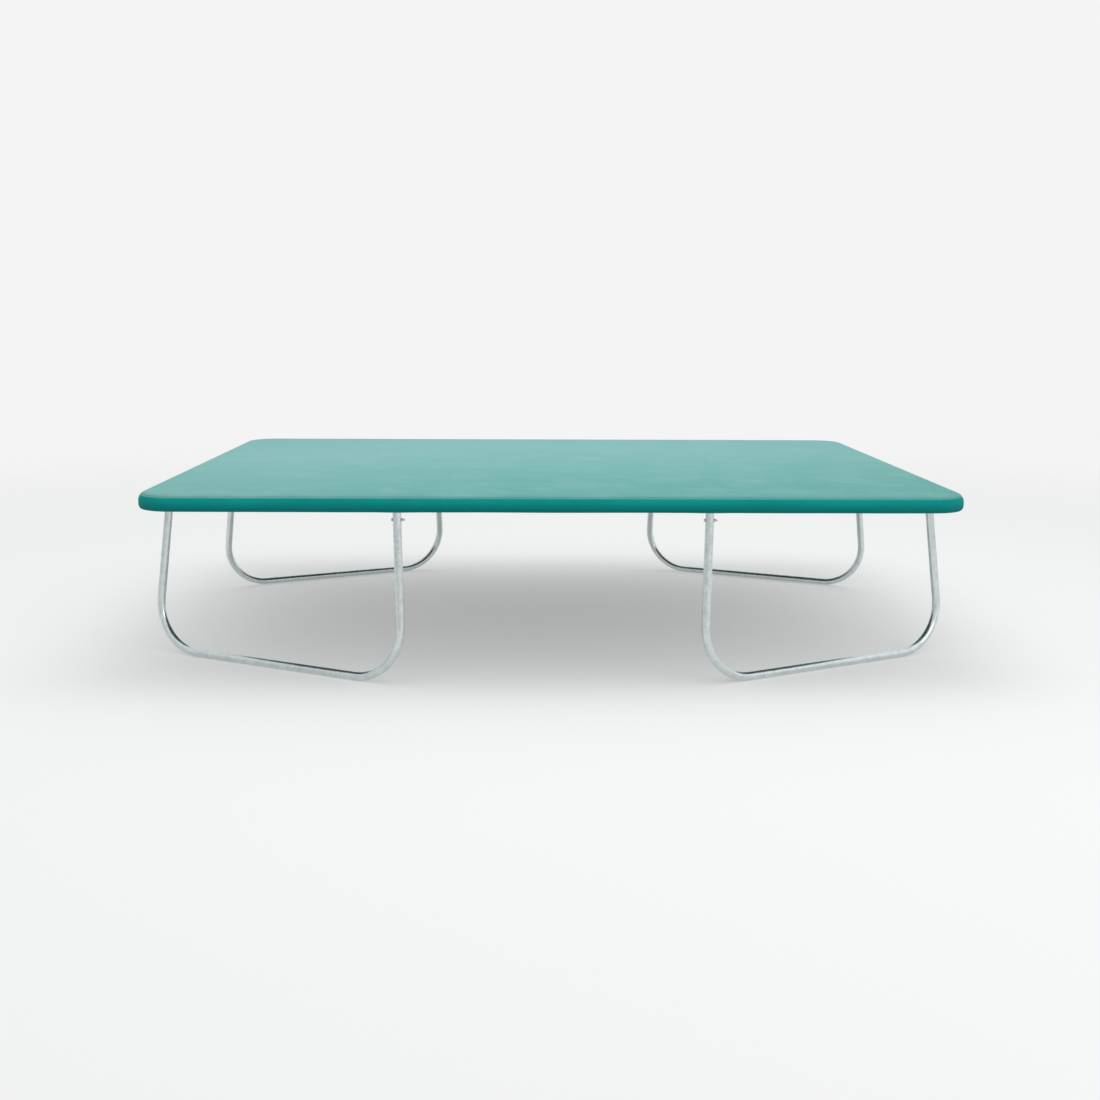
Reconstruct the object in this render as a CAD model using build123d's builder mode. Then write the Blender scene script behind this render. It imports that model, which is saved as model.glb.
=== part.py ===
"""Rectangular trampoline under its fitted cover, in millimetres.

The origin is on the floor under the middle of the bed, +X along the long side, +Y to the back, +Z up.
"""

from build123d import *
import math
import os

os.makedirs("parts", exist_ok=True)

# Overall sizes, over the fitted cover
LENGTH = 4300.0
WIDTH = 3050.0
HEIGHT = 980.0
CORNER_R = 200.0

# Cover: a flat top, a rounded edge and a hem that turns in under the rail
COVER_T = 1.5
EDGE_R = 47.5
TOP_PANEL_TURN = 40.0
PANEL_SEAM = 0.4
BAND_BELOW_RAIL_MIDDLE = 6.0
HEM_R = 25.0
HEM_TURN = 55.0
HEM_SLOT_GAP = 1.0
HEM_ELASTIC_D = 3.4
HEM_ELASTIC_INSET = 3.5
HEM_ELASTIC_LIFT = 2.0
SKIN_GAP = 0.5

# Safety pads: foam in a vinyl skin, with a short skirt outside the rail
PAD_T = 33.0
PAD_WIDTH = 308.0
PAD_SKIN_T = 1.2
PAD_END_GAP = 2.0
SKIRT_T = 3.0
SKIRT_BELOW_PAD = 15.0
FOAM_GAP = 0.1
TIE_T = 1.2
TIE_GAP = 0.4
TIE_WIDTH = 20.0
TIES_ON_LONG = 6
TIES_ON_SHORT = 5

# Frame: straight rails and corner bends on inner spigots
RAIL_D = 48.0
RAIL_WALL = 2.0
RAIL_INSET = 30.0
CORNER_LEG = 60.0
SPIGOT_REACH = 50.0
SPIGOT_WALL = 2.0
SPIGOT_GAP = 0.2
RAIL_JOINT_GAP = 0.3

# Screws through rail and spigot, from below
SCREW_D = 6.0
SCREW_HEAD_D = 11.0
SCREW_HEAD_H = 3.0
SCREW_LENGTH = 9.0
SCREW_CLEARANCE = 0.3
SCREW_FROM_JOINT = 25.0

# Legs: each a U across a corner, two bent posts and a floor tube between them
LEG_D = 44.5
LEG_WALL = 2.0
LEG_ON_LONG = 800.0
LEG_ON_SHORT = 825.0
LEG_SPLAY = 88.0
LEG_SPREAD = 72.0
LEG_BEND_R = 270.0
LEG_BEND_FOOT = 370.0
SOCKET_BELOW_RAIL = 104.0
SOCKET_WELD_GAP = 0.1
POST_SEAM = 0.6
SWAGE_LENGTH = 70.0
SWAGE_GAP = 0.2
SWAGE_OVERLAP = 4.0
LEG_SPIGOT_REACH = 60.0

# Through bolt of each post
BOLT_D = 8.0
BOLT_CLEARANCE = 0.25
BOLT_ABOVE_SEAM = 38.0
BOLT_HEAD_AF = 13.0
BOLT_HEAD_H = 5.3
BOLT_HEAD_OVERLAP = 1.0
NUT_H = 6.8
WASHER_D = 16.0
WASHER_T = 1.6
THREAD_PAST_NUT = 10.0
WASHER_SEAT_GAP = 0.5
FACE_GAP = 0.05

# Springs: wire coil with a hook at each end
SPRING_D = 26.0
SPRING_WIRE = 3.2
SPRING_PITCH = 126.0
SPRING_LENGTH = 215.0
SPRING_COIL_LENGTH = 160.0
HOOK_DROP = 9.0
HOOK_INTO_RAIL = 8.0
HOOK_BEND_R = 3.0
HOOK_HOLE_D = 5.2

# Bed: woven mat, sewn webbing, and a wire V-ring for each spring
MAT_T = 1.6
WEBBING_T = 2.4
WEBBING_WIDTH = 45.0
RING_WIRE = 4.0
RING_WIDTH = 44.0
RING_DEPTH = 30.0
RING_CORNER_R = 5.0
RING_UNDER_HOOK = 0.4
LOOP_WIDTH = 24.0
LOOP_DEPTH = 11.0
LOOP_T = 8.0
LOOP_CLEARANCE = 0.3
BED_END_SPACE = 45.0
CORNER_TAB_WIDTH = 40.0

# Worked out from the sizes above
HALF_X = LENGTH / 2
HALF_Y = WIDTH / 2
PAD_TOP = HEIGHT - COVER_T - SKIN_GAP
PAD_BOTTOM = PAD_TOP - PAD_T
RAIL_R = RAIL_D / 2
RAIL_Z = PAD_BOTTOM - 2 * TIE_GAP - TIE_T - RAIL_R
RAIL_X = HALF_X - RAIL_INSET
RAIL_Y = HALF_Y - RAIL_INSET
RAIL_BEND_R = CORNER_R - RAIL_INSET
RAIL_BORE = RAIL_D - 2 * RAIL_WALL
SPIGOT_D = RAIL_BORE - 2 * SPIGOT_GAP
JOINT_X = HALF_X - CORNER_R - CORNER_LEG
JOINT_Y = HALF_Y - CORNER_R - CORNER_LEG
BAND_BOTTOM = RAIL_Z - BAND_BELOW_RAIL_MIDDLE
LEG_BORE = LEG_D - 2 * LEG_WALL
SOCKET_BOTTOM = RAIL_Z - SOCKET_BELOW_RAIL
BOLT_Z = SOCKET_BOTTOM + BOLT_ABOVE_SEAM
RAIL_INSIDE = RAIL_INSET + RAIL_R
RING_APEX_INSET = RAIL_INSIDE + SPRING_LENGTH
RING_Z = RAIL_Z - (SPRING_WIRE + RING_WIRE) / 2 - RING_UNDER_HOOK
RING_BAR = RING_DEPTH - RING_WIRE
MAT_INSET = RING_APEX_INSET + RING_BAR + LOOP_DEPTH / 2
MAT_X = HALF_X - MAT_INSET
MAT_Y = HALF_Y - MAT_INSET
MAT_TOP = RING_Z + MAT_T / 2
SPAN_X = 2 * (MAT_X - BED_END_SPACE)
SPAN_Y = 2 * (MAT_Y - BED_END_SPACE)
COUNT_X = 2 * round(SPAN_X / SPRING_PITCH / 2)
COUNT_Y = 2 * round(SPAN_Y / SPRING_PITCH / 2)
BED_SPOTS_X = [SPAN_X * (i / (COUNT_X - 1) - 0.5) for i in range(COUNT_X)]
BED_SPOTS_Y = [SPAN_Y * (i / (COUNT_Y - 1) - 0.5) for i in range(COUNT_Y)]

CORNERS = {
    "front_left": (-1, -1),
    "front_right": (1, -1),
    "back_left": (-1, 1),
    "back_right": (1, 1),
}
# Each side by its outward direction and half the cover's extent that way
SIDES = {
    "front": (Vector(0, -1, 0), HALF_Y),
    "back": (Vector(0, 1, 0), HALF_Y),
    "left": (Vector(-1, 0, 0), HALF_X),
    "right": (Vector(1, 0, 0), HALF_X),
}


def save(piece, label):
    """Label the finished piece and write its file."""
    piece.part.label = label
    export_step(piece.part, f"parts/{label}.step")


def tube(start, end, outer, bore=0.0, mode=Mode.ADD):
    """Straight tube or bar from one point to another."""
    run = Vector(*end) - Vector(*start)
    with BuildSketch(Plane(origin=tuple(start), z_dir=run)) as ring:
        Circle(outer / 2)
        if bore:
            Circle(bore / 2, mode=Mode.SUBTRACT)
    extrude(ring.sketch, amount=run.length, mode=mode)


def hook_places():
    """Each spring's hook place on the outline, as (group, plane), x into the bed and z up."""
    places = []
    for side in SIDES:
        outward, reach = SIDES[side]
        spots = BED_SPOTS_X if side in ("front", "back") else BED_SPOTS_Y
        for spot in spots:
            across = outward.cross(Vector(0, 0, 1))
            origin = outward * (reach - RAIL_INSIDE) + across * spot + Vector(0, 0, RAIL_Z)
            places.append((side, Plane(origin=origin, x_dir=-outward, z_dir=(0, 0, 1))))
    for sx, sy in CORNERS.values():
        outward = Vector(sx, sy, 0).normalized()
        centre = Vector(sx * (HALF_X - CORNER_R), sy * (HALF_Y - CORNER_R), RAIL_Z)
        origin = centre + outward * (RAIL_BEND_R - RAIL_R)
        places.append(("corner", Plane(origin=origin, x_dir=-outward, z_dir=(0, 0, 1))))
    return places


HOOKS = hook_places()


# ---------------------------------------------------------------- frame

def drill_hook_holes(low, high):
    """Drill the spring hook holes whose places lie in the box from low to high."""
    for _, place in HOOKS:
        spot = place.origin
        if all(low[i] <= tuple(spot)[i] <= high[i] for i in range(2)):
            inward = place.x_dir * RAIL_WALL
            tube(spot + inward, spot - inward * 2, HOOK_HOLE_D, mode=Mode.SUBTRACT)


def rail_joints():
    """Every joint in the frame: its point and the direction of the rail there."""
    joints = []
    for y in (-RAIL_Y, RAIL_Y):
        for x in (-JOINT_X, 0, JOINT_X):
            joints.append((Vector(x, y, RAIL_Z), Vector(1, 0, 0)))
    for x in (-RAIL_X, RAIL_X):
        for y in (-JOINT_Y, JOINT_Y):
            joints.append((Vector(x, y, RAIL_Z), Vector(0, 1, 0)))
    return joints


def screw_spots():
    """Point under each joint screw, on the rail's underside."""
    spots = []
    for joint, run in rail_joints():
        for sign in (-1, 1):
            spots.append(joint + run * (sign * SCREW_FROM_JOINT) - Vector(0, 0, RAIL_R))
    return spots


def drill_screw_hole(spot):
    """Drill one screw hole upward from just below the rail."""
    up = Vector(0, 0, 1)
    tube(spot - up * RAIL_WALL, spot + up * SCREW_LENGTH, SCREW_D + 2 * SCREW_CLEARANCE, mode=Mode.SUBTRACT)


def drill_screw_holes(low, high):
    """Drill the screw holes that lie in the box from low to high."""
    for spot in screw_spots():
        if all(low[i] <= tuple(spot)[i] <= high[i] for i in range(2)):
            drill_screw_hole(spot)


def make_rail(label, start, end):
    """One straight rail between two frame joints."""
    run = (end - start).normalized() * (RAIL_JOINT_GAP / 2)
    low = [min(a, b) - RAIL_D for a, b in zip(tuple(start), tuple(end))]
    high = [max(a, b) + RAIL_D for a, b in zip(tuple(start), tuple(end))]
    along = 0 if abs(end.X - start.X) > abs(end.Y - start.Y) else 1
    low[along] += RAIL_D
    high[along] -= RAIL_D
    with BuildPart() as rail:
        tube(start + run, end - run, RAIL_D, RAIL_BORE)
        drill_hook_holes(low, high)
        drill_screw_holes(low, high)
    save(rail, label)


def make_rails():
    """Two rails on each long side, one on each short side."""
    for name, y in (("front", -RAIL_Y), ("back", RAIL_Y)):
        for half, sign in (("left", -1), ("right", 1)):
            ends = sorted((0.0, sign * JOINT_X))
            make_rail(f"rail_{name}_{half}", Vector(ends[0], y, RAIL_Z), Vector(ends[1], y, RAIL_Z))
    for name, x in (("left", -RAIL_X), ("right", RAIL_X)):
        make_rail(f"rail_{name}", Vector(x, -JOINT_Y, RAIL_Z), Vector(x, JOINT_Y, RAIL_Z))


def make_frame_corner(corner):
    """One bent corner of the frame, with a straight leg each way."""
    sx, sy = CORNERS[corner]
    long_end = (sx * (JOINT_X + RAIL_JOINT_GAP / 2), sy * RAIL_Y)
    bend_corner = (sx * RAIL_X, sy * RAIL_Y)
    short_end = (sx * RAIL_X, sy * (JOINT_Y + RAIL_JOINT_GAP / 2))
    across = sorted((sx * (JOINT_X + RAIL_JOINT_GAP), sx * HALF_X))
    deep = sorted((sy * (JOINT_Y + RAIL_JOINT_GAP), sy * HALF_Y))
    low, high = (across[0], deep[0]), (across[1], deep[1])
    with BuildPart() as bend:
        with BuildLine(Plane.XY.offset(RAIL_Z)) as path:
            FilletPolyline(long_end, bend_corner, short_end, radius=RAIL_BEND_R)
        with BuildSketch(Plane(origin=path.line @ 0, z_dir=path.line % 0)):
            Circle(RAIL_D / 2)
            Circle(RAIL_BORE / 2, mode=Mode.SUBTRACT)
        sweep()
        drill_hook_holes(low, high)
        drill_screw_holes(low, high)
    save(bend, f"frame_corner_{corner}")


def make_rail_spigots():
    """The inner sleeves that join rails and corner bends."""
    with BuildPart() as spigots:
        for joint, run in rail_joints():
            reach = run * SPIGOT_REACH
            tube(joint - reach, joint + reach, SPIGOT_D, SPIGOT_D - 2 * SPIGOT_WALL)
        for spot in screw_spots():
            drill_screw_hole(spot)
    save(spigots, "rail_spigots")


def make_rail_screws():
    """The button-head screws at every frame joint."""
    up = Vector(0, 0, 1)
    with BuildPart() as screws:
        for spot in screw_spots():
            seat = spot - up * FACE_GAP
            tube(seat - up * SCREW_HEAD_H, seat, SCREW_HEAD_D)
            tube(seat - up * SCREW_HEAD_H / 2, seat + up * SCREW_LENGTH, SCREW_D)
    save(screws, "rail_screws")


# ---------------------------------------------------------------- legs

def leg_plane(corner):
    """Plane of one leg: origin mid-way along its floor tube, x towards the long side, y up the leg."""
    sx, sy = CORNERS[corner]
    short_top = Vector(sx * RAIL_X, sy * LEG_ON_SHORT, RAIL_Z)
    long_top = Vector(sx * LEG_ON_LONG, sy * RAIL_Y, RAIL_Z)
    across = (long_top - short_top).normalized()
    outward = Vector(sx * abs(across.Y), sy * abs(across.X), 0)
    foot = (short_top + long_top) / 2 + outward * LEG_SPLAY
    foot.Z = LEG_D / 2
    up = (short_top + long_top) / 2 - foot
    return Plane(origin=foot, x_dir=across, z_dir=across.cross(up)), (long_top - short_top).length, up.length


def post_line(corner, side):
    """Rail end and floor corner of one post's axis. side is -1 on the short side, 1 on the long side."""
    plane, top_width, height = leg_plane(corner)
    top = plane.from_local_coords(Vector(side * top_width / 2, height))
    floor = plane.from_local_coords(Vector(side * (top_width / 2 + LEG_SPREAD), 0))
    return top, floor


def on_post(corner, side, z):
    """Point of a post's axis at height z."""
    top, floor = post_line(corner, side)
    return floor + (top - floor) * ((z - floor.Z) / (top.Z - floor.Z))


def bolt_direction(side):
    """A post's bolt lies along the rail above it."""
    return Vector(1, 0, 0) if side == 1 else Vector(0, 1, 0)


def drill_bolt_hole(corner, side):
    """Hole for the through bolt, right across the post."""
    reach = bolt_direction(side) * LEG_D
    middle = on_post(corner, side, BOLT_Z)
    tube(middle - reach, middle + reach, BOLT_D + 2 * BOLT_CLEARANCE, mode=Mode.SUBTRACT)


POSTS = [(corner, side) for corner in CORNERS for side in (-1, 1)]
POST_NAMES = {-1: "short_side", 1: "long_side"}


def make_leg_socket(corner, side):
    """Stub tube welded under the rail, notched to the rail's curve."""
    top = on_post(corner, side, RAIL_Z)
    bottom = on_post(corner, side, SOCKET_BOTTOM)
    reach = bolt_direction(side) * RAIL_D * 2
    with BuildPart() as socket:
        tube(bottom, top, LEG_D, LEG_BORE)
        tube(top - reach, top + reach, RAIL_D + 2 * SOCKET_WELD_GAP, mode=Mode.SUBTRACT)
        drill_bolt_hole(corner, side)
    save(socket, f"leg_socket_{corner}_{POST_NAMES[side]}")


def make_leg_post(corner, side):
    """One bent tube: post, bend and the first stretch along the floor, with a swaged top end."""
    plane, top_width, height = leg_plane(corner)
    half_floor = top_width / 2 + LEG_SPREAD
    seam = plane.to_local_coords(on_post(corner, side, SOCKET_BOTTOM - POST_SEAM))
    swage_top = on_post(corner, side, SOCKET_BOTTOM + SWAGE_LENGTH)
    inside_post = on_post(corner, side, SOCKET_BOTTOM - SWAGE_OVERLAP)
    post_top = on_post(corner, side, SOCKET_BOTTOM - POST_SEAM)
    swage_d = LEG_BORE - 2 * SWAGE_GAP
    with BuildPart() as post:
        with BuildLine(plane) as path:
            FilletPolyline(
                (seam.X, seam.Y),
                (side * half_floor, 0),
                (side * (half_floor - LEG_BEND_FOOT), 0),
                radius=LEG_BEND_R,
            )
        with BuildSketch(Plane(origin=path.line @ 0, z_dir=path.line % 0)):
            Circle(LEG_D / 2)
            Circle(LEG_BORE / 2, mode=Mode.SUBTRACT)
        sweep()
        tube(inside_post, swage_top, swage_d + 2 * SWAGE_GAP, swage_d - 2 * LEG_WALL)
        tube(post_top, swage_top, LEG_D * 2, swage_d, mode=Mode.SUBTRACT)
        drill_bolt_hole(corner, side)
    save(post, f"leg_post_{corner}_{POST_NAMES[side]}")


def floor_seam(corner, side):
    """Point on the floor tube's axis where it meets a post's foot."""
    plane, top_width, _ = leg_plane(corner)
    return plane.from_local_coords(Vector(side * (top_width / 2 + LEG_SPREAD - LEG_BEND_FOOT), 0))


def make_floor_tube(corner):
    """Straight tube on the floor between the two posts of a leg."""
    short_seam = floor_seam(corner, -1)
    long_seam = floor_seam(corner, 1)
    gap = (long_seam - short_seam).normalized() * POST_SEAM
    with BuildPart() as floor_tube:
        tube(short_seam + gap, long_seam - gap, LEG_D, LEG_BORE)
    save(floor_tube, f"leg_floor_tube_{corner}")


def make_leg_spigots():
    """Inner sleeves of the floor seams."""
    outer = LEG_BORE - 2 * SPIGOT_GAP
    with BuildPart() as spigots:
        for corner in CORNERS:
            run = (floor_seam(corner, 1) - floor_seam(corner, -1)).normalized() * LEG_SPIGOT_REACH
            for side in (-1, 1):
                seam = floor_seam(corner, side)
                tube(seam - run, seam + run, outer, outer - 2 * SPIGOT_WALL)
    save(spigots, "leg_spigots")


def hexagon_bar(start, end, across_flats, bore=0.0):
    """Straight hexagonal bar between two points."""
    run = end - start
    with BuildSketch(Plane(origin=tuple(start), z_dir=run)) as flats:
        RegularPolygon(across_flats / 2, 6, major_radius=False)
        if bore:
            Circle(bore / 2, mode=Mode.SUBTRACT)
    extrude(flats.sketch, amount=run.length)


def make_leg_fasteners():
    """Bolts, nuts and washers of all eight posts, each kind in one node."""
    head_seat = LEG_D / 2 + WASHER_SEAT_GAP + WASHER_T + FACE_GAP
    nut_end = head_seat + FACE_GAP + NUT_H
    with BuildPart() as bolts:
        for corner, side in POSTS:
            middle = on_post(corner, side, BOLT_Z)
            run = bolt_direction(side)
            hexagon_bar(middle - run * (head_seat + BOLT_HEAD_H), middle - run * head_seat, BOLT_HEAD_AF)
            shank_start = middle - run * (head_seat + BOLT_HEAD_OVERLAP)
            tube(shank_start, middle + run * (nut_end + THREAD_PAST_NUT), BOLT_D)
    save(bolts, "leg_bolts")
    with BuildPart() as nuts:
        for corner, side in POSTS:
            middle = on_post(corner, side, BOLT_Z)
            run = bolt_direction(side)
            seat = middle + run * (head_seat + FACE_GAP)
            hexagon_bar(seat, seat + run * NUT_H, BOLT_HEAD_AF, BOLT_D + 2 * FACE_GAP)
    save(nuts, "leg_nuts")
    with BuildPart() as washers:
        for corner, side in POSTS:
            middle = on_post(corner, side, BOLT_Z)
            for run in (bolt_direction(side), -bolt_direction(side)):
                seat = middle + run * (LEG_D / 2 + WASHER_SEAT_GAP)
                tube(seat, seat + run * WASHER_T, WASHER_D, BOLT_D + 2 * BOLT_CLEARANCE)
    save(washers, "leg_washers")


# ---------------------------------------------------------------- springs and bed

def make_one_spring():
    """One spring along +X from the rail's inside wall at the origin, its hooks turned down."""
    hook_start = -HOOK_INTO_RAIL
    hook_end = SPRING_LENGTH + RING_WIRE / 2 + SPRING_WIRE
    coil_start = (SPRING_LENGTH - SPRING_COIL_LENGTH) / 2
    with BuildPart() as spring:
        with BuildLine(Plane.XZ) as wire:
            FilletPolyline(
                (hook_start, -HOOK_DROP),
                (hook_start, 0),
                (hook_end, 0),
                (hook_end, -HOOK_DROP),
                radius=HOOK_BEND_R,
            )
        with BuildSketch(Plane(origin=wire.line @ 0, z_dir=wire.line % 0)):
            Circle(SPRING_WIRE / 2)
        sweep()
        tube((coil_start, 0, 0), (coil_start + SPRING_COIL_LENGTH, 0, 0), SPRING_D)
        tube(
            (coil_start + SPRING_WIRE, 0, 0),
            (coil_start + SPRING_COIL_LENGTH - SPRING_WIRE, 0, 0),
            SPRING_D - 2 * SPRING_WIRE,
            mode=Mode.SUBTRACT,
        )
    return spring.part


def make_springs():
    """Springs of each side and of the corners."""
    spring = make_one_spring()
    for group in (*SIDES, "corner"):
        with BuildPart() as springs:
            with Locations(*[place.location for name, place in HOOKS if name == group]):
                add(spring)
        save(springs, f"springs_{group}")


def make_one_ring():
    """One V-ring in its own plane: apex towards the spring, base bar in the webbing loop."""
    half = RING_WIDTH / 2
    with BuildPart() as ring:
        with BuildLine() as wire:
            points = [(-RING_CORNER_R, 0), (RING_BAR, -half), (RING_BAR, half)]
            FilletPolyline(*points, radius=RING_CORNER_R, close=True)
        with BuildSketch(Plane(origin=wire.line @ 0.5, z_dir=wire.line % 0.5)):
            Circle(RING_WIRE / 2)
        sweep(path=wire.line)
    return ring.part


def ring_places():
    """Plane of each V-ring, x into the bed, origin at its apex."""
    places = []
    for name, place in HOOKS:
        origin = place.origin + place.x_dir * SPRING_LENGTH
        origin.Z = RING_Z
        places.append((name, Plane(origin=origin, x_dir=place.x_dir, z_dir=(0, 0, 1))))
    return places


def make_mat_rings():
    """All the V-rings of the bed."""
    ring = make_one_ring()
    with BuildPart() as rings:
        with Locations(*[place.location for _, place in ring_places()]):
            add(ring)
    save(rings, "mat_rings")


def make_jump_mat():
    """The woven mat, flat at rest."""
    with BuildPart() as mat:
        with BuildSketch(Plane.XY.offset(MAT_TOP - MAT_T)):
            Rectangle(2 * MAT_X, 2 * MAT_Y)
        extrude(amount=MAT_T)
    save(mat, "jump_mat")


def make_mat_webbing():
    """Webbing sewn on top of the mat's edge, with a tab that reaches out at each corner."""
    with BuildPart() as webbing:
        with BuildSketch(Plane.XY.offset(MAT_TOP)):
            Rectangle(2 * MAT_X, 2 * MAT_Y)
            Rectangle(2 * (MAT_X - WEBBING_WIDTH), 2 * (MAT_Y - WEBBING_WIDTH), mode=Mode.SUBTRACT)
        extrude(amount=WEBBING_T)
        for name, place in ring_places():
            if name != "corner":
                continue
            start = place.origin + place.x_dir * (RING_BAR + LOOP_DEPTH / 2)
            reach = (Vector(MAT_X, MAT_Y, 0) - Vector(abs(start.X), abs(start.Y), 0)).length + WEBBING_WIDTH
            middle = start + place.x_dir * reach / 2
            middle.Z = MAT_TOP
            with BuildSketch(Plane(origin=middle, x_dir=place.x_dir, z_dir=(0, 0, 1))) as strap:
                Rectangle(reach, CORNER_TAB_WIDTH)
            extrude(strap.sketch, amount=WEBBING_T)
    save(webbing, "mat_webbing")


def make_webbing_loops():
    """The stitched loop that holds each V-ring's base bar."""
    with BuildPart(mode=Mode.PRIVATE) as loop:
        with Locations((RING_BAR, 0, 0)):
            Box(LOOP_DEPTH, LOOP_WIDTH, LOOP_T)
        bore = RING_WIRE + 2 * LOOP_CLEARANCE
        tube((RING_BAR, -RING_WIDTH, 0), (RING_BAR, RING_WIDTH, 0), bore, mode=Mode.SUBTRACT)
    with BuildPart() as loops:
        with Locations(*[place.location for _, place in ring_places()]):
            add(loop.part)
    save(loops, "webbing_loops")


# ---------------------------------------------------------------- pads

def rounded_slab(inset, bottom, top, edge_r):
    """Slab inside the outline, its outer top edge rounded. Made outside any part."""
    with BuildPart(mode=Mode.PRIVATE) as slab:
        with BuildSketch(Plane.XY.offset(bottom)):
            RectangleRounded(2 * (HALF_X - inset), 2 * (HALF_Y - inset), CORNER_R - inset)
        extrude(amount=top - bottom)
        fillet(slab.faces().sort_by(Axis.Z)[-1].edges(), edge_r)
    return slab.part


def frame_box(inset, bottom, top):
    """Plain block inside the outline."""
    with BuildPart(mode=Mode.PRIVATE) as block:
        with BuildSketch(Plane.XY.offset(bottom)):
            Rectangle(2 * (HALF_X - inset), 2 * (HALF_Y - inset))
        extrude(amount=top - bottom)
    return block.part


def pad_region(side, gap):
    """Block that holds one pad's share of the ring: long pads run corner to corner."""
    outward, reach = SIDES[side]
    if side in ("front", "back"):
        size = (LENGTH, PAD_WIDTH - gap, HEIGHT)
    else:
        size = (PAD_WIDTH - gap, WIDTH - 2 * (PAD_WIDTH + PAD_END_GAP + gap), HEIGHT)
    middle = outward * (reach - (PAD_WIDTH - gap) / 2)
    with BuildPart(Plane(origin=(middle.X, middle.Y, HEIGHT)), mode=Mode.PRIVATE) as block:
        Box(*size)
    return block.part


def make_pads():
    """Foam core and vinyl skin of the four pads."""
    inset = COVER_T + SKIN_GAP
    edge = EDGE_R - inset
    skirt_bottom = PAD_BOTTOM - SKIRT_BELOW_PAD
    shell = rounded_slab(inset, skirt_bottom, PAD_TOP, edge)
    under = rounded_slab(inset + SKIRT_T, skirt_bottom - SKIRT_T, PAD_BOTTOM, SKIN_GAP)
    thinner = PAD_SKIN_T + FOAM_GAP
    core = rounded_slab(inset + thinner, PAD_BOTTOM - edge, PAD_TOP - PAD_SKIN_T - FOAM_GAP, edge - thinner)
    below_core = frame_box(0, 0, PAD_BOTTOM + thinner)
    hollow = rounded_slab(inset + PAD_SKIN_T, PAD_BOTTOM - edge, PAD_TOP - PAD_SKIN_T, edge - PAD_SKIN_T)
    below_hollow = frame_box(0, 0, PAD_BOTTOM + PAD_SKIN_T)
    for side in SIDES:
        core_region = pad_region(side, thinner)
        hollow_region = pad_region(side, PAD_SKIN_T)
        region = pad_region(side, 0.0)
        with BuildPart() as foam:
            add(core)
            add(below_core, mode=Mode.SUBTRACT)
            add(core_region, mode=Mode.INTERSECT)
        save(foam, f"pad_foam_{side}")
        with BuildPart(mode=Mode.PRIVATE) as cavity:
            add(hollow)
            add(below_hollow, mode=Mode.SUBTRACT)
            add(hollow_region, mode=Mode.INTERSECT)
        with BuildPart() as skin:
            add(shell)
            add(under, mode=Mode.SUBTRACT)
            add(region, mode=Mode.INTERSECT)
            add(cavity.part, mode=Mode.SUBTRACT)
        save(skin, f"pad_skin_{side}")


def make_pad_ties():
    """Elastic loops round the rails that hold the pads down."""
    bore = RAIL_D + 2 * TIE_GAP
    spots = []
    for y in (-RAIL_Y, RAIL_Y):
        step = SPAN_X / (COUNT_X - 1)
        for i in range(TIES_ON_LONG):
            place = round((i + 0.5 - TIES_ON_LONG / 2) * SPAN_X / TIES_ON_LONG / step) * step
            spots.append((Vector(place, y, RAIL_Z), Vector(1, 0, 0)))
    for x in (-RAIL_X, RAIL_X):
        step = SPAN_Y / (COUNT_Y - 1)
        for i in range(TIES_ON_SHORT):
            place = round((i + 0.5 - TIES_ON_SHORT / 2) * SPAN_Y / TIES_ON_SHORT / step) * step
            spots.append((Vector(x, place, RAIL_Z), Vector(0, 1, 0)))
    with BuildPart() as ties:
        for spot, run in spots:
            half = run * TIE_WIDTH / 2
            tube(spot - half, spot + half, bore + 2 * TIE_T, bore)
    save(ties, "pad_ties")


# ---------------------------------------------------------------- cover

def edge_shell(bottom):
    """The cover's skin from its flat top down past the rounded edge, to the given height."""
    outside = rounded_slab(0, bottom, HEIGHT, EDGE_R)
    inside = rounded_slab(COVER_T, bottom - COVER_T, HEIGHT - COVER_T, EDGE_R - COVER_T)
    with BuildPart(mode=Mode.PRIVATE) as shell:
        add(outside)
        add(inside, mode=Mode.SUBTRACT)
    return shell.part


def hem_bowl(inset, radius):
    """Slab whose lower edge is rounded as the hem turns in."""
    bottom = BAND_BOTTOM - HEM_R + inset
    with BuildPart(mode=Mode.PRIVATE) as bowl:
        with BuildSketch(Plane.XY.offset(bottom)):
            RectangleRounded(2 * (HALF_X - inset), 2 * (HALF_Y - inset), CORNER_R - inset)
        extrude(amount=2 * HEM_R)
        fillet(bowl.faces().sort_by(Axis.Z)[0].edges(), radius)
    return bowl.part


def make_cover():
    """Top panel and edge band of the cover, sewn along the rounded edge."""
    seam_z = HEIGHT - EDGE_R + EDGE_R * math.cos(math.radians(TOP_PANEL_TURN))
    shell = edge_shell(BAND_BOTTOM)
    below_seam = frame_box(-EDGE_R, 0, seam_z + PANEL_SEAM / 2)
    above_seam = frame_box(-EDGE_R, seam_z - PANEL_SEAM / 2, 2 * HEIGHT)
    with BuildPart() as top:
        add(shell)
        add(below_seam, mode=Mode.SUBTRACT)
    save(top, "cover_top")
    with BuildPart() as band:
        add(shell)
        add(above_seam, mode=Mode.SUBTRACT)
    save(band, "cover_band")


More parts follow.
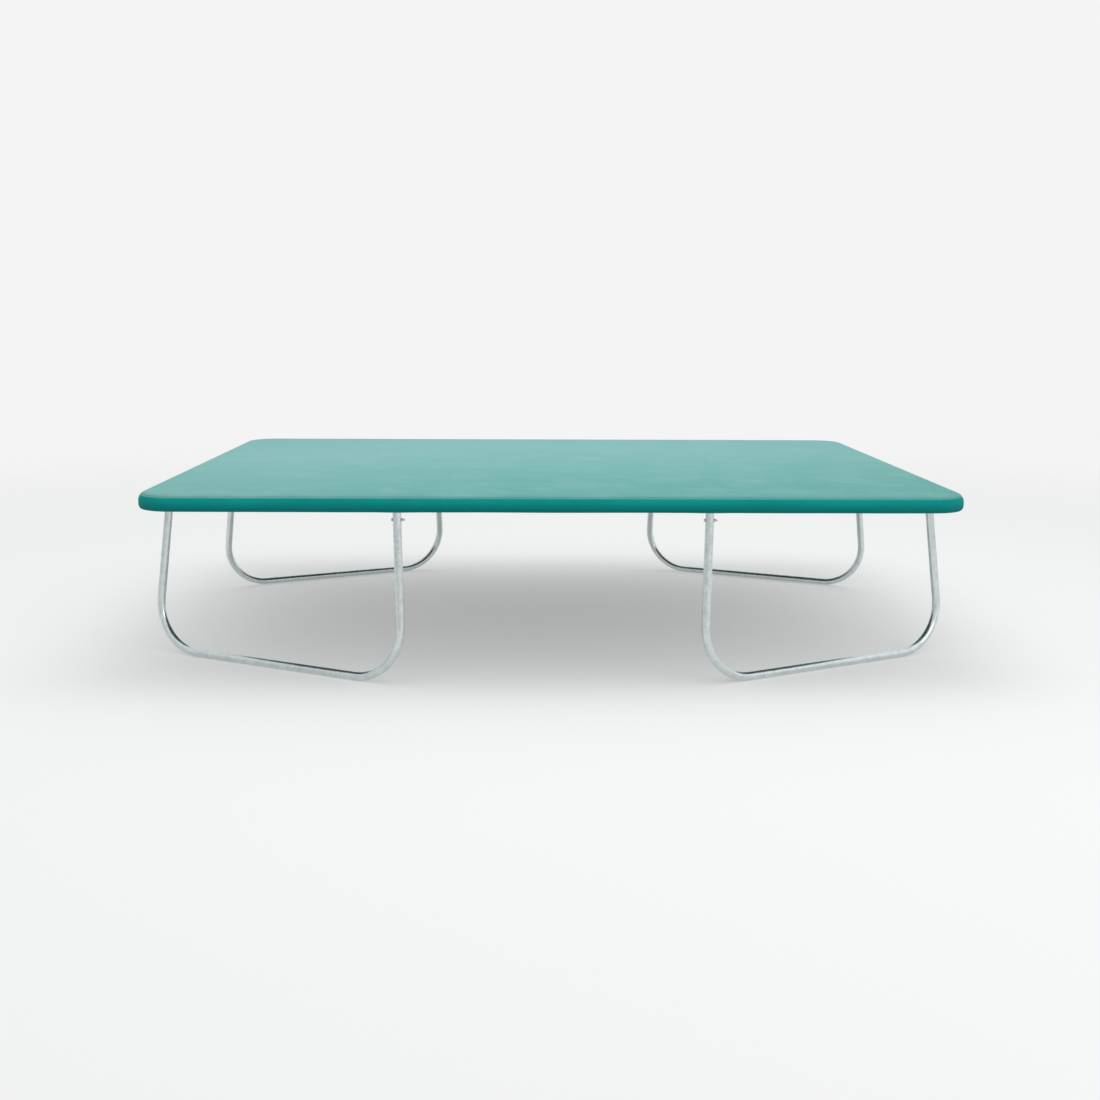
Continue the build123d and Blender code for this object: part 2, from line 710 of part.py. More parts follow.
def make_cover_hem():
    """Lower edge of the cover, turned in below the rail, with a slot round each leg socket."""
    lip_z = BAND_BOTTOM - HEM_R * math.sin(math.radians(HEM_TURN))
    slot_d = LEG_D + 2 * HEM_SLOT_GAP
    outside = hem_bowl(0, HEM_R)
    inside = hem_bowl(COVER_T, HEM_R - COVER_T)
    below_lip = frame_box(-HEM_R, 0, lip_z)
    above_hem = frame_box(-HEM_R, BAND_BOTTOM - PANEL_SEAM, HEIGHT)
    with BuildPart() as hem:
        add(outside)
        for waste in (inside, below_lip, above_hem):
            add(waste, mode=Mode.SUBTRACT)
        for corner, side in POSTS:
            foot, head = on_post(corner, side, SOCKET_BOTTOM), on_post(corner, side, RAIL_Z)
            tube(foot, head, slot_d, mode=Mode.SUBTRACT)
    save(hem, "cover_hem")


def make_cover_elastic():
    """Elastic that runs all round inside the hem."""
    inset = HEM_ELASTIC_INSET
    with BuildSketch(Plane.XY.offset(BAND_BOTTOM - HEM_ELASTIC_LIFT)) as loop:
        RectangleRounded(2 * (HALF_X - inset), 2 * (HALF_Y - inset), CORNER_R - inset)
    path = loop.sketch.faces()[0].outer_wire()
    with BuildPart() as elastic:
        with BuildSketch(Plane(origin=path @ 0, z_dir=path % 0)):
            Circle(HEM_ELASTIC_D / 2)
        sweep(path=path)
    save(elastic, "cover_elastic")


if __name__ == "__main__":
    make_rails()
    for corner in CORNERS:
        make_frame_corner(corner)
        make_floor_tube(corner)
    make_rail_spigots()
    make_rail_screws()
    for corner, side in POSTS:
        make_leg_socket(corner, side)
        make_leg_post(corner, side)
    make_leg_spigots()
    make_leg_fasteners()
    make_springs()
    make_mat_rings()
    make_jump_mat()
    make_mat_webbing()
    make_webbing_loops()
    make_pads()
    make_pad_ties()
    make_cover()
    make_cover_hem()
    make_cover_elastic()
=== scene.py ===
import math

import bmesh
import bpy
import numpy as np
from mathutils import Matrix, Vector, noise


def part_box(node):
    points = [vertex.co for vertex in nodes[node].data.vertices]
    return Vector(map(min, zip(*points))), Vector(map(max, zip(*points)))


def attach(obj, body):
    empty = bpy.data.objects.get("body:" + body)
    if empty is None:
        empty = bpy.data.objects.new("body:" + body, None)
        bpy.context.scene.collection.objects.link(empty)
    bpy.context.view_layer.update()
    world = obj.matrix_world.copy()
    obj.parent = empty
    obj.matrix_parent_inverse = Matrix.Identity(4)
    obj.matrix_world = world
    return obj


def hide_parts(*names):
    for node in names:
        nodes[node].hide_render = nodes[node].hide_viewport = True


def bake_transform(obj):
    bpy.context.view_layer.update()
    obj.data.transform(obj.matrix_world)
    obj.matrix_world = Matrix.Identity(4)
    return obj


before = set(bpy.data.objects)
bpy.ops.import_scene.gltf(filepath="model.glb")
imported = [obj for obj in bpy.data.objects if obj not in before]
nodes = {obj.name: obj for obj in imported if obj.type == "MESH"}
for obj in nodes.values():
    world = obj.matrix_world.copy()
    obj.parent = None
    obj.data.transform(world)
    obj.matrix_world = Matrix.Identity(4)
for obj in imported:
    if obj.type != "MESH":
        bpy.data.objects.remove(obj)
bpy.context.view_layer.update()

# ------------------------------------------------------------------ sizes, in metres, read from the frame

_, band_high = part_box("cover_band")
_, top_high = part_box("cover_top")
hem_low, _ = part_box("cover_hem")
rail_low, rail_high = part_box("rail_left")
mat_low, mat_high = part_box("jump_mat")
spring_low, spring_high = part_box("springs_front")
side_spring_low, side_spring_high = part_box("springs_left")
_, pad_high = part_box("pad_skin_left")

HALF_X, HALF_Y, TOP = band_high.x, band_high.y, top_high.z
CORNER_R = 0.200
CORNER_STEPS = 14
RAIL_Z = (rail_low.z + rail_high.z) / 2
RAIL_X = -(rail_low.x + rail_high.x) / 2
RAIL_R = (rail_high.z - rail_low.z) / 2
RAIL_INSET = HALF_X - RAIL_X
RAIL_Y = HALF_Y - RAIL_INSET
RAIL_INSIDE = RAIL_INSET + RAIL_R
MAT_X, MAT_Y, MAT_TOP = mat_high.x, mat_high.y, mat_high.z
MAT_T = mat_high.z - mat_low.z

CLOTH_T = 0.0012
EDGE_R = 0.0475
PANEL_TURN = 40.0
HEM_R = 0.025
HEM_TURN = 55.0
BAND_BOTTOM = hem_low.z + HEM_R * math.sin(math.radians(HEM_TURN))
COVER_SAG = 0.006

SPRING_D = 0.026
SPRING_WIRE = 0.0032
SPRING_LENGTH = 0.215
COIL_LENGTH = 0.160
COIL_TURNS = 38
HOOK_DROP = 0.009
HOOK_INTO_RAIL = 0.008
COUNT_X, COUNT_Y = 28, 18
SPAN_X = spring_high.x - spring_low.x - SPRING_D
SPAN_Y = side_spring_high.y - side_spring_low.y - SPRING_D

RING_WIRE = 0.004
RING_WIDTH = 0.044
RING_BAR = 0.026
RING_CORNER_R = 0.005
RING_Z = MAT_TOP - MAT_T / 2
WEBBING_T = 0.0022
WEBBING_WIDTH = 0.045
LOOP_WIDTH = 0.024

PAD_UNDER_COVER = 0.0052
PAD_T = 0.0325
PAD_TOP = TOP - PAD_UNDER_COVER
PAD_BOTTOM = pad_high.z - PAD_T
PAD_WIDTH = 0.305
PAD_OUTER = 0.003
PAD_COVER_R = 0.045
TIE_WIDTH = 0.020
TIES_ON_LONG, TIES_ON_SHORT = 6, 5

# The four sides and four corners with the way each faces, and the middles of the leg sockets
SIDES = {"front": (0, -1), "right": (1, 0), "back": (0, 1), "left": (-1, 0)}
CORNERS = {
    "front_left": (-1, -1), "front_right": (1, -1),
    "back_right": (1, 1), "back_left": (-1, 1),
}
POST_PLACES = [
    (low + high) / 2
    for low, high in (
        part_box(f"leg_socket_{corner}_{side}") for corner in CORNERS for side in ("short_side", "long_side")
    )
]


# ------------------------------------------------------------------ camera, light and floor

CAMERA_LENS = 43.35
CAMERA_PLACE = (-0.1426, -8.1834, 1.9047)
CAMERA_AIM, CAMERA_DIP, CAMERA_TILT = -0.0186, 0.1787, 0.0049
ROOM_LOW, ROOM_HIGH = 0.74, 1.04
ROOM_LEFT, ROOM_RIGHT = 0.86, 1.10
BACKDROP = 0.9047
LIGHTS = {
    "overhead_box": {"place": (0.2, -0.5, 5.2), "size": (3.6, 2.8), "power": 74.0},
    "front_right_box": {"place": (5.4, -6.2, 3.4), "size": (2.6, 2.6), "power": 60.0},
}
LIGHTS_AIM = Vector((0, 0, 0.5))
FLOOR_RADIUS = 16.0
FLOOR_WHITE, FLOOR_GLOW = 0.53, 0.325
FLOOR_FADE_START, FLOOR_FADE_END = 5.0, 12.0


def add_object(name, data):
    """A new object in the scene."""
    made = bpy.data.objects.new(name, data)
    bpy.context.scene.collection.objects.link(made)
    return made


def aim_camera():
    """A low view from in front, a little left of the middle."""
    camera = add_object("camera", bpy.data.cameras.new("camera"))
    camera.data.sensor_width = 36.0
    camera.data.lens = CAMERA_LENS
    camera.data.clip_start, camera.data.clip_end = 0.1, 200.0
    dip = Matrix.Rotation(math.pi / 2 - CAMERA_DIP, 4, "X")
    turn = Matrix.Rotation(CAMERA_AIM, 4, "Z") @ dip @ Matrix.Rotation(CAMERA_TILT, 4, "Z")
    camera.matrix_world = Matrix.Translation(CAMERA_PLACE) @ turn
    bpy.context.scene.camera = camera


def feed(tree, socket, value):
    """Links a socket to another, or sets its value."""
    if isinstance(value, bpy.types.NodeSocket):
        tree.links.new(value, socket)
    else:
        socket.default_value = value


def node(tree, kind, inputs=None, **settings):
    """Adds a node, sets its settings, then links or sets its inputs by name or number."""
    made = tree.nodes.new(kind)
    for key, value in settings.items():
        setattr(made, key, value)
    for key, value in (inputs or {}).items():
        feed(tree, made.inputs[key], value)
    return made


def calc(tree, operation, a, b=0.0, c=0.0):
    """Result of one sum."""
    return node(tree, "ShaderNodeMath", {0: a, 1: b, 2: c}, operation=operation).outputs[0]


def between(tree, value, low, high, to_low=0.0, to_high=1.0):
    """Value eased from one range into another."""
    inputs = {"Value": value, "From Min": low, "From Max": high, "To Min": to_low, "To Max": to_high}
    return node(tree, "ShaderNodeMapRange", inputs, interpolation_type="SMOOTHSTEP").outputs[0]


def mix_colours(tree, share, a, b):
    """Colour a turning into colour b."""
    made = node(tree, "ShaderNodeMix", data_type="RGBA")
    for index, value in ((0, share), (6, a), (7, b)):
        feed(tree, made.inputs[index], value)
    return made.outputs[2]


def light_studio():
    """White room, darker low down and to the left for what the tubes reflect, and two soft boxes."""
    world = bpy.data.worlds.new("studio")
    bpy.context.scene.world = world
    world.use_nodes = True
    tree = world.node_tree
    tree.nodes.clear()
    direction = node(tree, "ShaderNodeTexCoord").outputs["Generated"]
    parts = node(tree, "ShaderNodeSeparateXYZ", {0: direction})
    rise = between(tree, parts.outputs["Z"], -0.1, 0.9, ROOM_LOW, ROOM_HIGH)
    lean = between(tree, parts.outputs["X"], -0.9, 0.9, ROOM_LEFT, ROOM_RIGHT)
    strength = calc(tree, "MULTIPLY", rise, lean)
    room = node(tree, "ShaderNodeBackground", {"Color": (0.985, 1.0, 1.0, 1), "Strength": strength})
    plain = node(tree, "ShaderNodeBackground", {"Color": (1, 1, 1, 1), "Strength": BACKDROP})
    seen = node(tree, "ShaderNodeLightPath").outputs["Is Camera Ray"]
    mixed = node(tree, "ShaderNodeMixShader", {0: seen, 1: room.outputs[0], 2: plain.outputs[0]})
    node(tree, "ShaderNodeOutputWorld", {"Surface": mixed.outputs[0]})
    for name, light in LIGHTS.items():
        lamp = bpy.data.lights.new(name, "AREA")
        lamp.shape, lamp.size, lamp.size_y, lamp.energy = "RECTANGLE", *light["size"], light["power"]
        box = add_object(name, lamp)
        box.location = light["place"]
        box.rotation_mode = "QUATERNION"
        box.rotation_quaternion = (Vector(light["place"]) - LIGHTS_AIM).to_track_quat("Z", "Y")
        box.visible_camera = False


def lay_floor():
    """Pale floor that fades into the room."""
    mesh = bpy.data.meshes.new("floor")
    turns = np.linspace(0, 2 * math.pi, 96, endpoint=False)
    ring = [(FLOOR_RADIUS * math.cos(turn), FLOOR_RADIUS * math.sin(turn), 0) for turn in turns]
    mesh.from_pydata(ring, [], [list(range(len(ring)))])
    floor = add_object("floor", mesh)
    material = bpy.data.materials.new("floor_paper")
    material.use_nodes = True
    tree = material.node_tree
    tree.nodes.clear()
    place = node(tree, "ShaderNodeTexCoord").outputs["Object"]
    away = node(tree, "ShaderNodeVectorMath", {0: place}, operation="LENGTH").outputs["Value"]
    paper = node(tree, "ShaderNodeBsdfDiffuse", {"Color": (FLOOR_WHITE, FLOOR_WHITE, FLOOR_WHITE, 1)})
    glow = node(tree, "ShaderNodeEmission", {"Color": (1, 1, 1, 1), "Strength": FLOOR_GLOW})
    lit = node(tree, "ShaderNodeAddShader", {0: paper.outputs[0], 1: glow.outputs[0]})
    clear = node(tree, "ShaderNodeBsdfTransparent")
    share = between(tree, away, FLOOR_FADE_START, FLOOR_FADE_END)
    mixed = node(tree, "ShaderNodeMixShader", {0: share, 1: lit.outputs[0], 2: clear.outputs[0]})
    node(tree, "ShaderNodeOutputMaterial", {"Surface": mixed.outputs[0]})
    mesh.materials.append(material)


aim_camera()
light_studio()
lay_floor()
bpy.context.scene.view_settings.view_transform = "Standard"
bpy.context.scene.view_settings.look = "None"


# ------------------------------------------------------------------ patterns that several finishes share

def start_pattern(name, inputs, outputs, kind="ShaderNodeTree"):
    """An empty group with named inputs and outputs: its tree, its input sockets and its output node."""
    tree = bpy.data.node_groups.new(name, kind)
    for label, socket_kind, value in inputs:
        socket = tree.interface.new_socket(name=label, in_out="INPUT", socket_type=socket_kind)
        if value is not None:
            socket.default_value = value
    for label, socket_kind in outputs:
        tree.interface.new_socket(name=label, in_out="OUTPUT", socket_type=socket_kind)
    return tree, node(tree, "NodeGroupInput").outputs, node(tree, "NodeGroupOutput")


def put(tree, pattern, **inputs):
    """Places a pattern in a finish; an input's underscores stand for spaces."""
    made = node(tree, "ShaderNodeGroup", node_tree=pattern)
    for key, value in inputs.items():
        feed(tree, made.inputs[key.replace("_", " ")], value)
    return made.outputs


def weave_pattern():
    """Plain weave: threads that pass over and under each other, with painted shade where they dip under."""
    tree, given, out = start_pattern(
        "plain_weave",
        [("Place", "NodeSocketVector", None), ("Threads Across", "NodeSocketFloat", 600.0),
         ("Threads Along", "NodeSocketFloat", 600.0), ("Unevenness", "NodeSocketFloat", 0.25)],
        [("Height", "NodeSocketFloat"), ("Shade", "NodeSocketFloat")],
    )
    wander = node(tree, "ShaderNodeTexNoise", {"Vector": given["Place"], "Scale": 40.0, "Detail": 2.0})
    parts = node(tree, "ShaderNodeSeparateXYZ", {0: given["Place"]})
    shift = calc(tree, "MULTIPLY", wander.outputs[0], given["Unevenness"])
    across = calc(tree, "ADD", calc(tree, "MULTIPLY", parts.outputs[0], given["Threads Across"]), shift)
    along = calc(tree, "ADD", calc(tree, "MULTIPLY", parts.outputs[1], given["Threads Along"]), shift)
    warp = calc(tree, "ABSOLUTE", calc(tree, "SINE", calc(tree, "MULTIPLY", across, math.pi)))
    weft = calc(tree, "ABSOLUTE", calc(tree, "SINE", calc(tree, "MULTIPLY", along, math.pi)))
    both = calc(tree, "ADD", calc(tree, "FLOOR", across), calc(tree, "FLOOR", along))
    turn = calc(tree, "PINGPONG", both, 1.0)
    over = calc(tree, "MULTIPLY", warp, turn)
    under = calc(tree, "MULTIPLY", weft, calc(tree, "SUBTRACT", 1.0, turn))
    height = calc(tree, "ADD", over, under)
    tree.links.new(height, out.inputs["Height"])
    # Shade is painted shade, darker where the threads dip under each other
    tree.links.new(between(tree, height, 0.0, 0.8, 0.0, 1.0), out.inputs["Shade"])
    return tree


def crease_pattern():
    """Soft creases and folds of cloth that was stored folded, and its slow changes of tone."""
    tree, given, out = start_pattern(
        "soft_creases",
        [("Place", "NodeSocketVector", None), ("Folds per Metre", "NodeSocketFloat", 9.0),
         ("Stretch", "NodeSocketFloat", 2.5)],
        [("Height", "NodeSocketFloat"), ("Tone", "NodeSocketFloat")],
    )
    pull = node(tree, "ShaderNodeCombineXYZ", {0: 1.0, 1: given["Stretch"], 2: given["Stretch"]})
    place = node(tree, "ShaderNodeVectorMath", {0: given["Place"], 1: pull.outputs[0]}, operation="MULTIPLY")
    folds = node(tree, "ShaderNodeTexNoise", {
        "Vector": place.outputs[0], "Scale": given["Folds per Metre"],
        "Detail": 4.0, "Roughness": 0.55, "Distortion": 0.6,
    })
    ridge = calc(tree, "ABSOLUTE", calc(tree, "SUBTRACT", folds.outputs[0], 0.5))
    tone = node(tree, "ShaderNodeTexNoise", {
        "Vector": place.outputs[0], "Scale": 1.7, "Detail": 5.0, "Roughness": 0.62,
    })
    tree.links.new(calc(tree, "SUBTRACT", folds.outputs[0], ridge), out.inputs["Height"])
    tree.links.new(between(tree, tone.outputs[0], 0.30, 0.70), out.inputs["Tone"])
    return tree


def dust_pattern():
    """Dust and rain marks that settle where a face looks up."""
    tree, given, out = start_pattern(
        "settled_dust",
        [("Place", "NodeSocketVector", None), ("Patch Size", "NodeSocketFloat", 0.25),
         ("Amount", "NodeSocketFloat", 0.3)],
        [("Mask", "NodeSocketFloat")],
    )
    scale = calc(tree, "DIVIDE", 1.0, given["Patch Size"])
    patches = node(tree, "ShaderNodeTexNoise", {
        "Vector": given["Place"], "Scale": scale, "Detail": 8.0, "Roughness": 0.7,
    })
    up = node(tree, "ShaderNodeSeparateXYZ", {0: node(tree, "ShaderNodeNewGeometry").outputs["Normal"]})
    facing = between(tree, up.outputs["Z"], 0.1, 0.9)
    mask = calc(tree, "MULTIPLY", between(tree, patches.outputs[0], 0.42, 0.72), facing)
    tree.links.new(calc(tree, "MULTIPLY", mask, given["Amount"]), out.inputs["Mask"])
    return tree


def spangle_pattern():
    """Zinc crystals: flat patches a few millimetres wide, each of its own grey, and a slow mottling."""
    tree, given, out = start_pattern(
        "zinc_spangle",
        [("Place", "NodeSocketVector", None), ("Crystal Size", "NodeSocketFloat", 0.009)],
        [("Shade", "NodeSocketFloat"), ("Mottle", "NodeSocketFloat"), ("Height", "NodeSocketFloat")],
    )
    scale = calc(tree, "DIVIDE", 1.0, given["Crystal Size"])
    bend = node(tree, "ShaderNodeTexNoise", {"Vector": given["Place"], "Scale": 160.0, "Detail": 2.0})
    bend_reach = (0.006, 0.006, 0.006)
    moved = node(tree, "ShaderNodeVectorMath", {0: bend.outputs["Color"], 1: bend_reach},
                 operation="MULTIPLY")
    place = node(tree, "ShaderNodeVectorMath", {0: given["Place"], 1: moved.outputs[0]}, operation="ADD")
    cells = node(tree, "ShaderNodeTexVoronoi", {"Vector": place.outputs[0], "Scale": scale})
    grey = node(tree, "ShaderNodeSeparateColor", {0: cells.outputs["Color"]})
    mottle = node(tree, "ShaderNodeTexNoise", {
        "Vector": given["Place"], "Scale": 22.0, "Detail": 6.0, "Roughness": 0.65,
    })
    tree.links.new(grey.outputs[0], out.inputs["Shade"])
    tree.links.new(between(tree, mottle.outputs[0], 0.32, 0.68), out.inputs["Mottle"])
    tree.links.new(cells.outputs["Distance"], out.inputs["Height"])
    return tree


WEAVE, CREASES, DUST, SPANGLE = weave_pattern(), crease_pattern(), dust_pattern(), spangle_pattern()


# ------------------------------------------------------------------ finishes

def start_finish(name):
    """An empty finish and its tree."""
    material = bpy.data.materials.new(name)
    material.use_nodes = True
    material.node_tree.nodes.clear()
    return material, material.node_tree


def end_finish(tree, **inputs):
    """The one shader of a finish; an input's underscores stand for spaces."""
    named = {key.replace("_", " "): value for key, value in inputs.items()}
    shader = node(tree, "ShaderNodeBsdfPrincipled", named)
    node(tree, "ShaderNodeOutputMaterial", {"Surface": shader.outputs[0]})


def object_place(tree):
    """Where a point is on the piece."""
    return node(tree, "ShaderNodeTexCoord").outputs["Object"]


def cloth_place(tree):
    """Where a point is on the flat cloth, in metres."""
    return node(tree, "ShaderNodeUVMap", uv_map="cloth").outputs[0]


def bump(tree, height, depth, strength=1.0, over=None):
    """Normal of a relief, laid over a finer one when that is given."""
    inputs = {"Height": height, "Distance": depth, "Strength": strength}
    if over is not None:
        inputs["Normal"] = over
    return node(tree, "ShaderNodeBump", inputs).outputs[0]


# Top colours: the deep teal with a painted sheen laid over it
TOP_FRONT = (0.116, 0.328, 0.306, 1)
TOP_BACK = (0.205, 0.422, 0.408, 1)
TOP_DUST = (0.250, 0.450, 0.435, 1)
EDGE_TEAL = (0.0032, 0.275, 0.250, 1)
EDGE_DEEP = (0.0022, 0.228, 0.208, 1)
EDGE_SHADED = (0.0018, 0.150, 0.140, 1)
SHEEN_TINT = (0.55, 0.95, 0.92, 1)
# The colour turns between these depths below the flat top, from the edge's deep teal to the top's lighter colour,
# which is a painted sheen
PAINTED_SHEEN_ABOVE, DEEP_BELOW = 0.0125, 0.0205
# Painted shade on the hem fades out between these heights from the band's lower edge
SHADE_LOW, SHADE_HIGH = -0.010, 0.035


def cover_finish(name):
    """Woven coated polyester, deep teal: lighter on top where a sheen is painted in, and dusty there; painted
    shade low on the hem.
    """
    material, tree = start_finish(name)
    cloth, place = cloth_place(tree), object_place(tree)
    weave = put(tree, WEAVE, Place=cloth, Threads_Across=520.0, Threads_Along=520.0, Unevenness=0.5)
    folds = put(tree, CREASES, Place=place, Folds_per_Metre=7.0, Stretch=2.8)
    dust = put(tree, DUST, Place=place, Patch_Size=0.32, Amount=0.34)
    spot = node(tree, "ShaderNodeSeparateXYZ", {0: place}).outputs
    height = spot["Z"]
    # Painted sheen: above this depth the top takes its lighter colour, standing for light that glances off the
    # cloth
    painted_sheen_share = between(tree, height, TOP - DEEP_BELOW, TOP - PAINTED_SHEEN_ABOVE)
    upper = mix_colours(tree, folds["Tone"], EDGE_DEEP, EDGE_TEAL)
    # Painted shade: the band darkens towards its lower edge, where the hem turns in under the rail
    lit = between(tree, height, BAND_BOTTOM + SHADE_LOW, BAND_BOTTOM + SHADE_HIGH)
    edge_with_painted_shade = mix_colours(tree, lit, EDGE_SHADED, upper)
    # Painted reflection: the top grows lighter towards the back and the left, where light glances off it more
    back = between(tree, spot["Y"], -HALF_Y, 0.9 * HALF_Y, 0.0, 0.85)
    left = between(tree, spot["X"], -HALF_X, 0.0, 0.45, 0.0)
    tone = calc(tree, "MULTIPLY_ADD", folds["Tone"], 0.15, calc(tree, "ADD", back, left))
    painted_sheen_top = mix_colours(tree, tone, TOP_FRONT, TOP_BACK)
    dusty = mix_colours(tree, dust["Mask"], painted_sheen_top, TOP_DUST)
    colour = mix_colours(tree, painted_sheen_share, edge_with_painted_shade, dusty)
    threads = calc(tree, "MULTIPLY_ADD", weave["Shade"], 0.16, 0.88)
    shaded = node(tree, "ShaderNodeVectorMath", {0: colour, 1: threads}, operation="MULTIPLY").outputs[0]
    relief = bump(tree, weave["Height"], 0.00022)
    folded = bump(tree, folds["Height"], 0.006, 0.5, over=relief)
    rough = calc(tree, "MULTIPLY_ADD", folds["Tone"], 0.08, 0.72)
    end_finish(tree, Base_Color=shaded, Roughness=rough, Normal=folded, Specular_IOR_Level=0.05,
               Sheen_Weight=0.03, Sheen_Roughness=0.45, Sheen_Tint=SHEEN_TINT)
    return material


def tube_finish(name, dark, light, crystal, rough):
    """Galvanised steel, its grey between dark and light from crystal to crystal."""
    material, tree = start_finish(name)
    place = object_place(tree)
    zinc = put(tree, SPANGLE, Place=place, Crystal_Size=crystal)
    crystals = calc(tree, "MULTIPLY", zinc["Shade"], 0.55)
    tone = calc(tree, "ADD", crystals, calc(tree, "MULTIPLY", zinc["Mottle"], 0.45))
    colour = mix_colours(tree, tone, dark, light)
    roughness = calc(tree, "MULTIPLY_ADD", zinc["Mottle"], 0.10, rough)
    end_finish(tree, Base_Color=colour, Metallic=0.92, Roughness=roughness,
               Normal=bump(tree, zinc["Height"], 0.0002, 0.18))
    return material


def wire_finish(name, colour, worn, rough):
    """Drawn wire and small plated parts."""
    material, tree = start_finish(name)
    place = object_place(tree)
    marks = node(tree, "ShaderNodeTexNoise",
                 {"Vector": place, "Scale": 420.0, "Detail": 5.0, "Roughness": 0.6})
    share = between(tree, marks.outputs[0], 0.35, 0.7)
    roughness = calc(tree, "MULTIPLY_ADD", share, 0.18, rough)
    end_finish(tree, Base_Color=mix_colours(tree, share, colour, worn), Metallic=0.95, Roughness=roughness,
               Normal=bump(tree, marks.outputs[0], 0.0001, 0.5))
    return material


def fabric_finish(name, colour, lighter, across, along, depth):
    """Woven or braided cloth of one colour family."""
    material, tree = start_finish(name)
    place = object_place(tree)
    weave = put(tree, WEAVE, Place=place, Threads_Across=across, Threads_Along=along, Unevenness=0.3)
    dust = put(tree, DUST, Place=place, Patch_Size=0.12, Amount=0.2)
    base = mix_colours(tree, weave["Shade"], colour, lighter)
    dusty = mix_colours(tree, dust["Mask"], base, (0.16, 0.15, 0.14, 1))
    end_finish(tree, Base_Color=dusty, Roughness=0.8, Specular_IOR_Level=0.3, Sheen_Weight=0.15,
               Sheen_Roughness=0.5, Normal=bump(tree, weave["Height"], depth))
    return material


def vinyl_finish(name):
    """Coated pad cloth: fine scrim under a satin coat, with scuffs."""
    material, tree = start_finish(name)
    place = object_place(tree)
    scrim = put(tree, WEAVE, Place=place, Threads_Across=420.0, Threads_Along=420.0, Unevenness=0.2)
    folds = put(tree, CREASES, Place=place, Folds_per_Metre=14.0, Stretch=1.4)
    dust = put(tree, DUST, Place=place, Patch_Size=0.10, Amount=0.22)
    base = mix_colours(tree, folds["Tone"], (0.018, 0.215, 0.215, 1), (0.030, 0.285, 0.280, 1))
    dusty = mix_colours(tree, dust["Mask"], base, (0.30, 0.36, 0.35, 1))
    relief = bump(tree, scrim["Height"], 0.0001, 0.6)
    folded = bump(tree, folds["Height"], 0.004, 0.6, over=relief)
    rough = calc(tree, "MULTIPLY_ADD", folds["Tone"], 0.12, 0.36)
    end_finish(tree, Base_Color=dusty, Roughness=rough, Specular_IOR_Level=0.45, Normal=folded)
    return material


def bed_finish(name):
    """Tight black weave of the jumping bed, greyer in worn patches."""
    material, tree = start_finish(name)
    place = object_place(tree)
    weave = put(tree, WEAVE, Place=place, Threads_Across=560.0, Threads_Along=560.0, Unevenness=0.15)
    folds = put(tree, CREASES, Place=place, Folds_per_Metre=3.0, Stretch=1.0)
    base = mix_colours(tree, weave["Shade"], (0.008, 0.008, 0.009, 1), (0.030, 0.030, 0.033, 1))
    worn = mix_colours(tree, calc(tree, "MULTIPLY", folds["Tone"], 0.25), base, (0.065, 0.065, 0.066, 1))
    end_finish(tree, Base_Color=worn, Roughness=calc(tree, "MULTIPLY_ADD", folds["Tone"], 0.1, 0.55),
               Specular_IOR_Level=0.35, Normal=bump(tree, weave["Height"], 0.0003))
    return material


def thread_finish(name, colour, lighter):
    """Twisted sewing thread."""
    material, tree = start_finish(name)
    place = object_place(tree)
    inputs = {"Vector": place, "Scale": 900.0, "Distortion": 1.5}
    twist = node(tree, "ShaderNodeTexWave", inputs, wave_type="BANDS", bands_direction="DIAGONAL")
    end_finish(tree, Base_Color=mix_colours(tree, twist.outputs["Fac"], colour, lighter), Roughness=0.7,
               Specular_IOR_Level=0.25, Normal=bump(tree, twist.outputs["Fac"], 0.0001))
    return material


COVER_TOP_CLOTH = cover_finish("bleached_cover_cloth")
COVER_EDGE_CLOTH = cover_finish("teal_edge_cloth")
TUBE = tube_finish(
    "galvanised_tube", (0.53, 0.585, 0.590, 1), (0.74, 0.785, 0.790, 1), crystal=0.005, rough=0.15
)
PLATED = wire_finish("zinc_plated_fasteners", (0.62, 0.63, 0.62, 1), (0.42, 0.43, 0.43, 1), 0.26)
SPRING_STEEL = wire_finish("spring_wire", (0.60, 0.61, 0.62, 1), (0.38, 0.39, 0.40, 1), 0.24)
VINYL = vinyl_finish("pad_vinyl")
ELASTIC = fabric_finish(
    "black_elastic", (0.022, 0.025, 0.025, 1), (0.085, 0.095, 0.095, 1), across=700.0, along=700.0,
    depth=0.0004
)
BED = bed_finish("bed_weave")
WEBBING = fabric_finish(
    "bed_webbing", (0.012, 0.012, 0.013, 1), (0.050, 0.050, 0.054, 1), across=380.0, along=700.0, depth=0.0004
)
TEAL_THREAD = thread_finish("teal_thread", (0.010, 0.230, 0.215, 1), (0.050, 0.420, 0.390, 1))
PALE_THREAD = thread_finish("pale_thread", (0.300, 0.310, 0.310, 1), (0.520, 0.530, 0.530, 1))


# ------------------------------------------------------------------ mesh helpers

def new_piece(name, points, faces, finish, uvs=None, smooth=True):
    """A mesh piece at the origin. uvs gives each face corner's place on the flat cloth."""
    mesh = bpy.data.meshes.new(name)
    mesh.from_pydata([tuple(p) for p in points], [], faces)
    if uvs is not None:
        layer = mesh.uv_layers.new(name="cloth")
        layer.data.foreach_set("uv", np.asarray(uvs, np.float32).ravel())
    mesh.materials.append(finish)
    mesh.shade_smooth() if smooth else mesh.shade_flat()
    return add_object(name, mesh)


def tidy(piece, outward=True):
    """Merges doubles and turns faces outwards."""
    work = bmesh.new()
    work.from_mesh(piece.data)
    bmesh.ops.remove_doubles(work, verts=work.verts, dist=1e-5)
    if outward:
        bmesh.ops.recalc_face_normals(work, faces=work.faces)
    work.to_mesh(piece.data)
    work.free()
    return piece


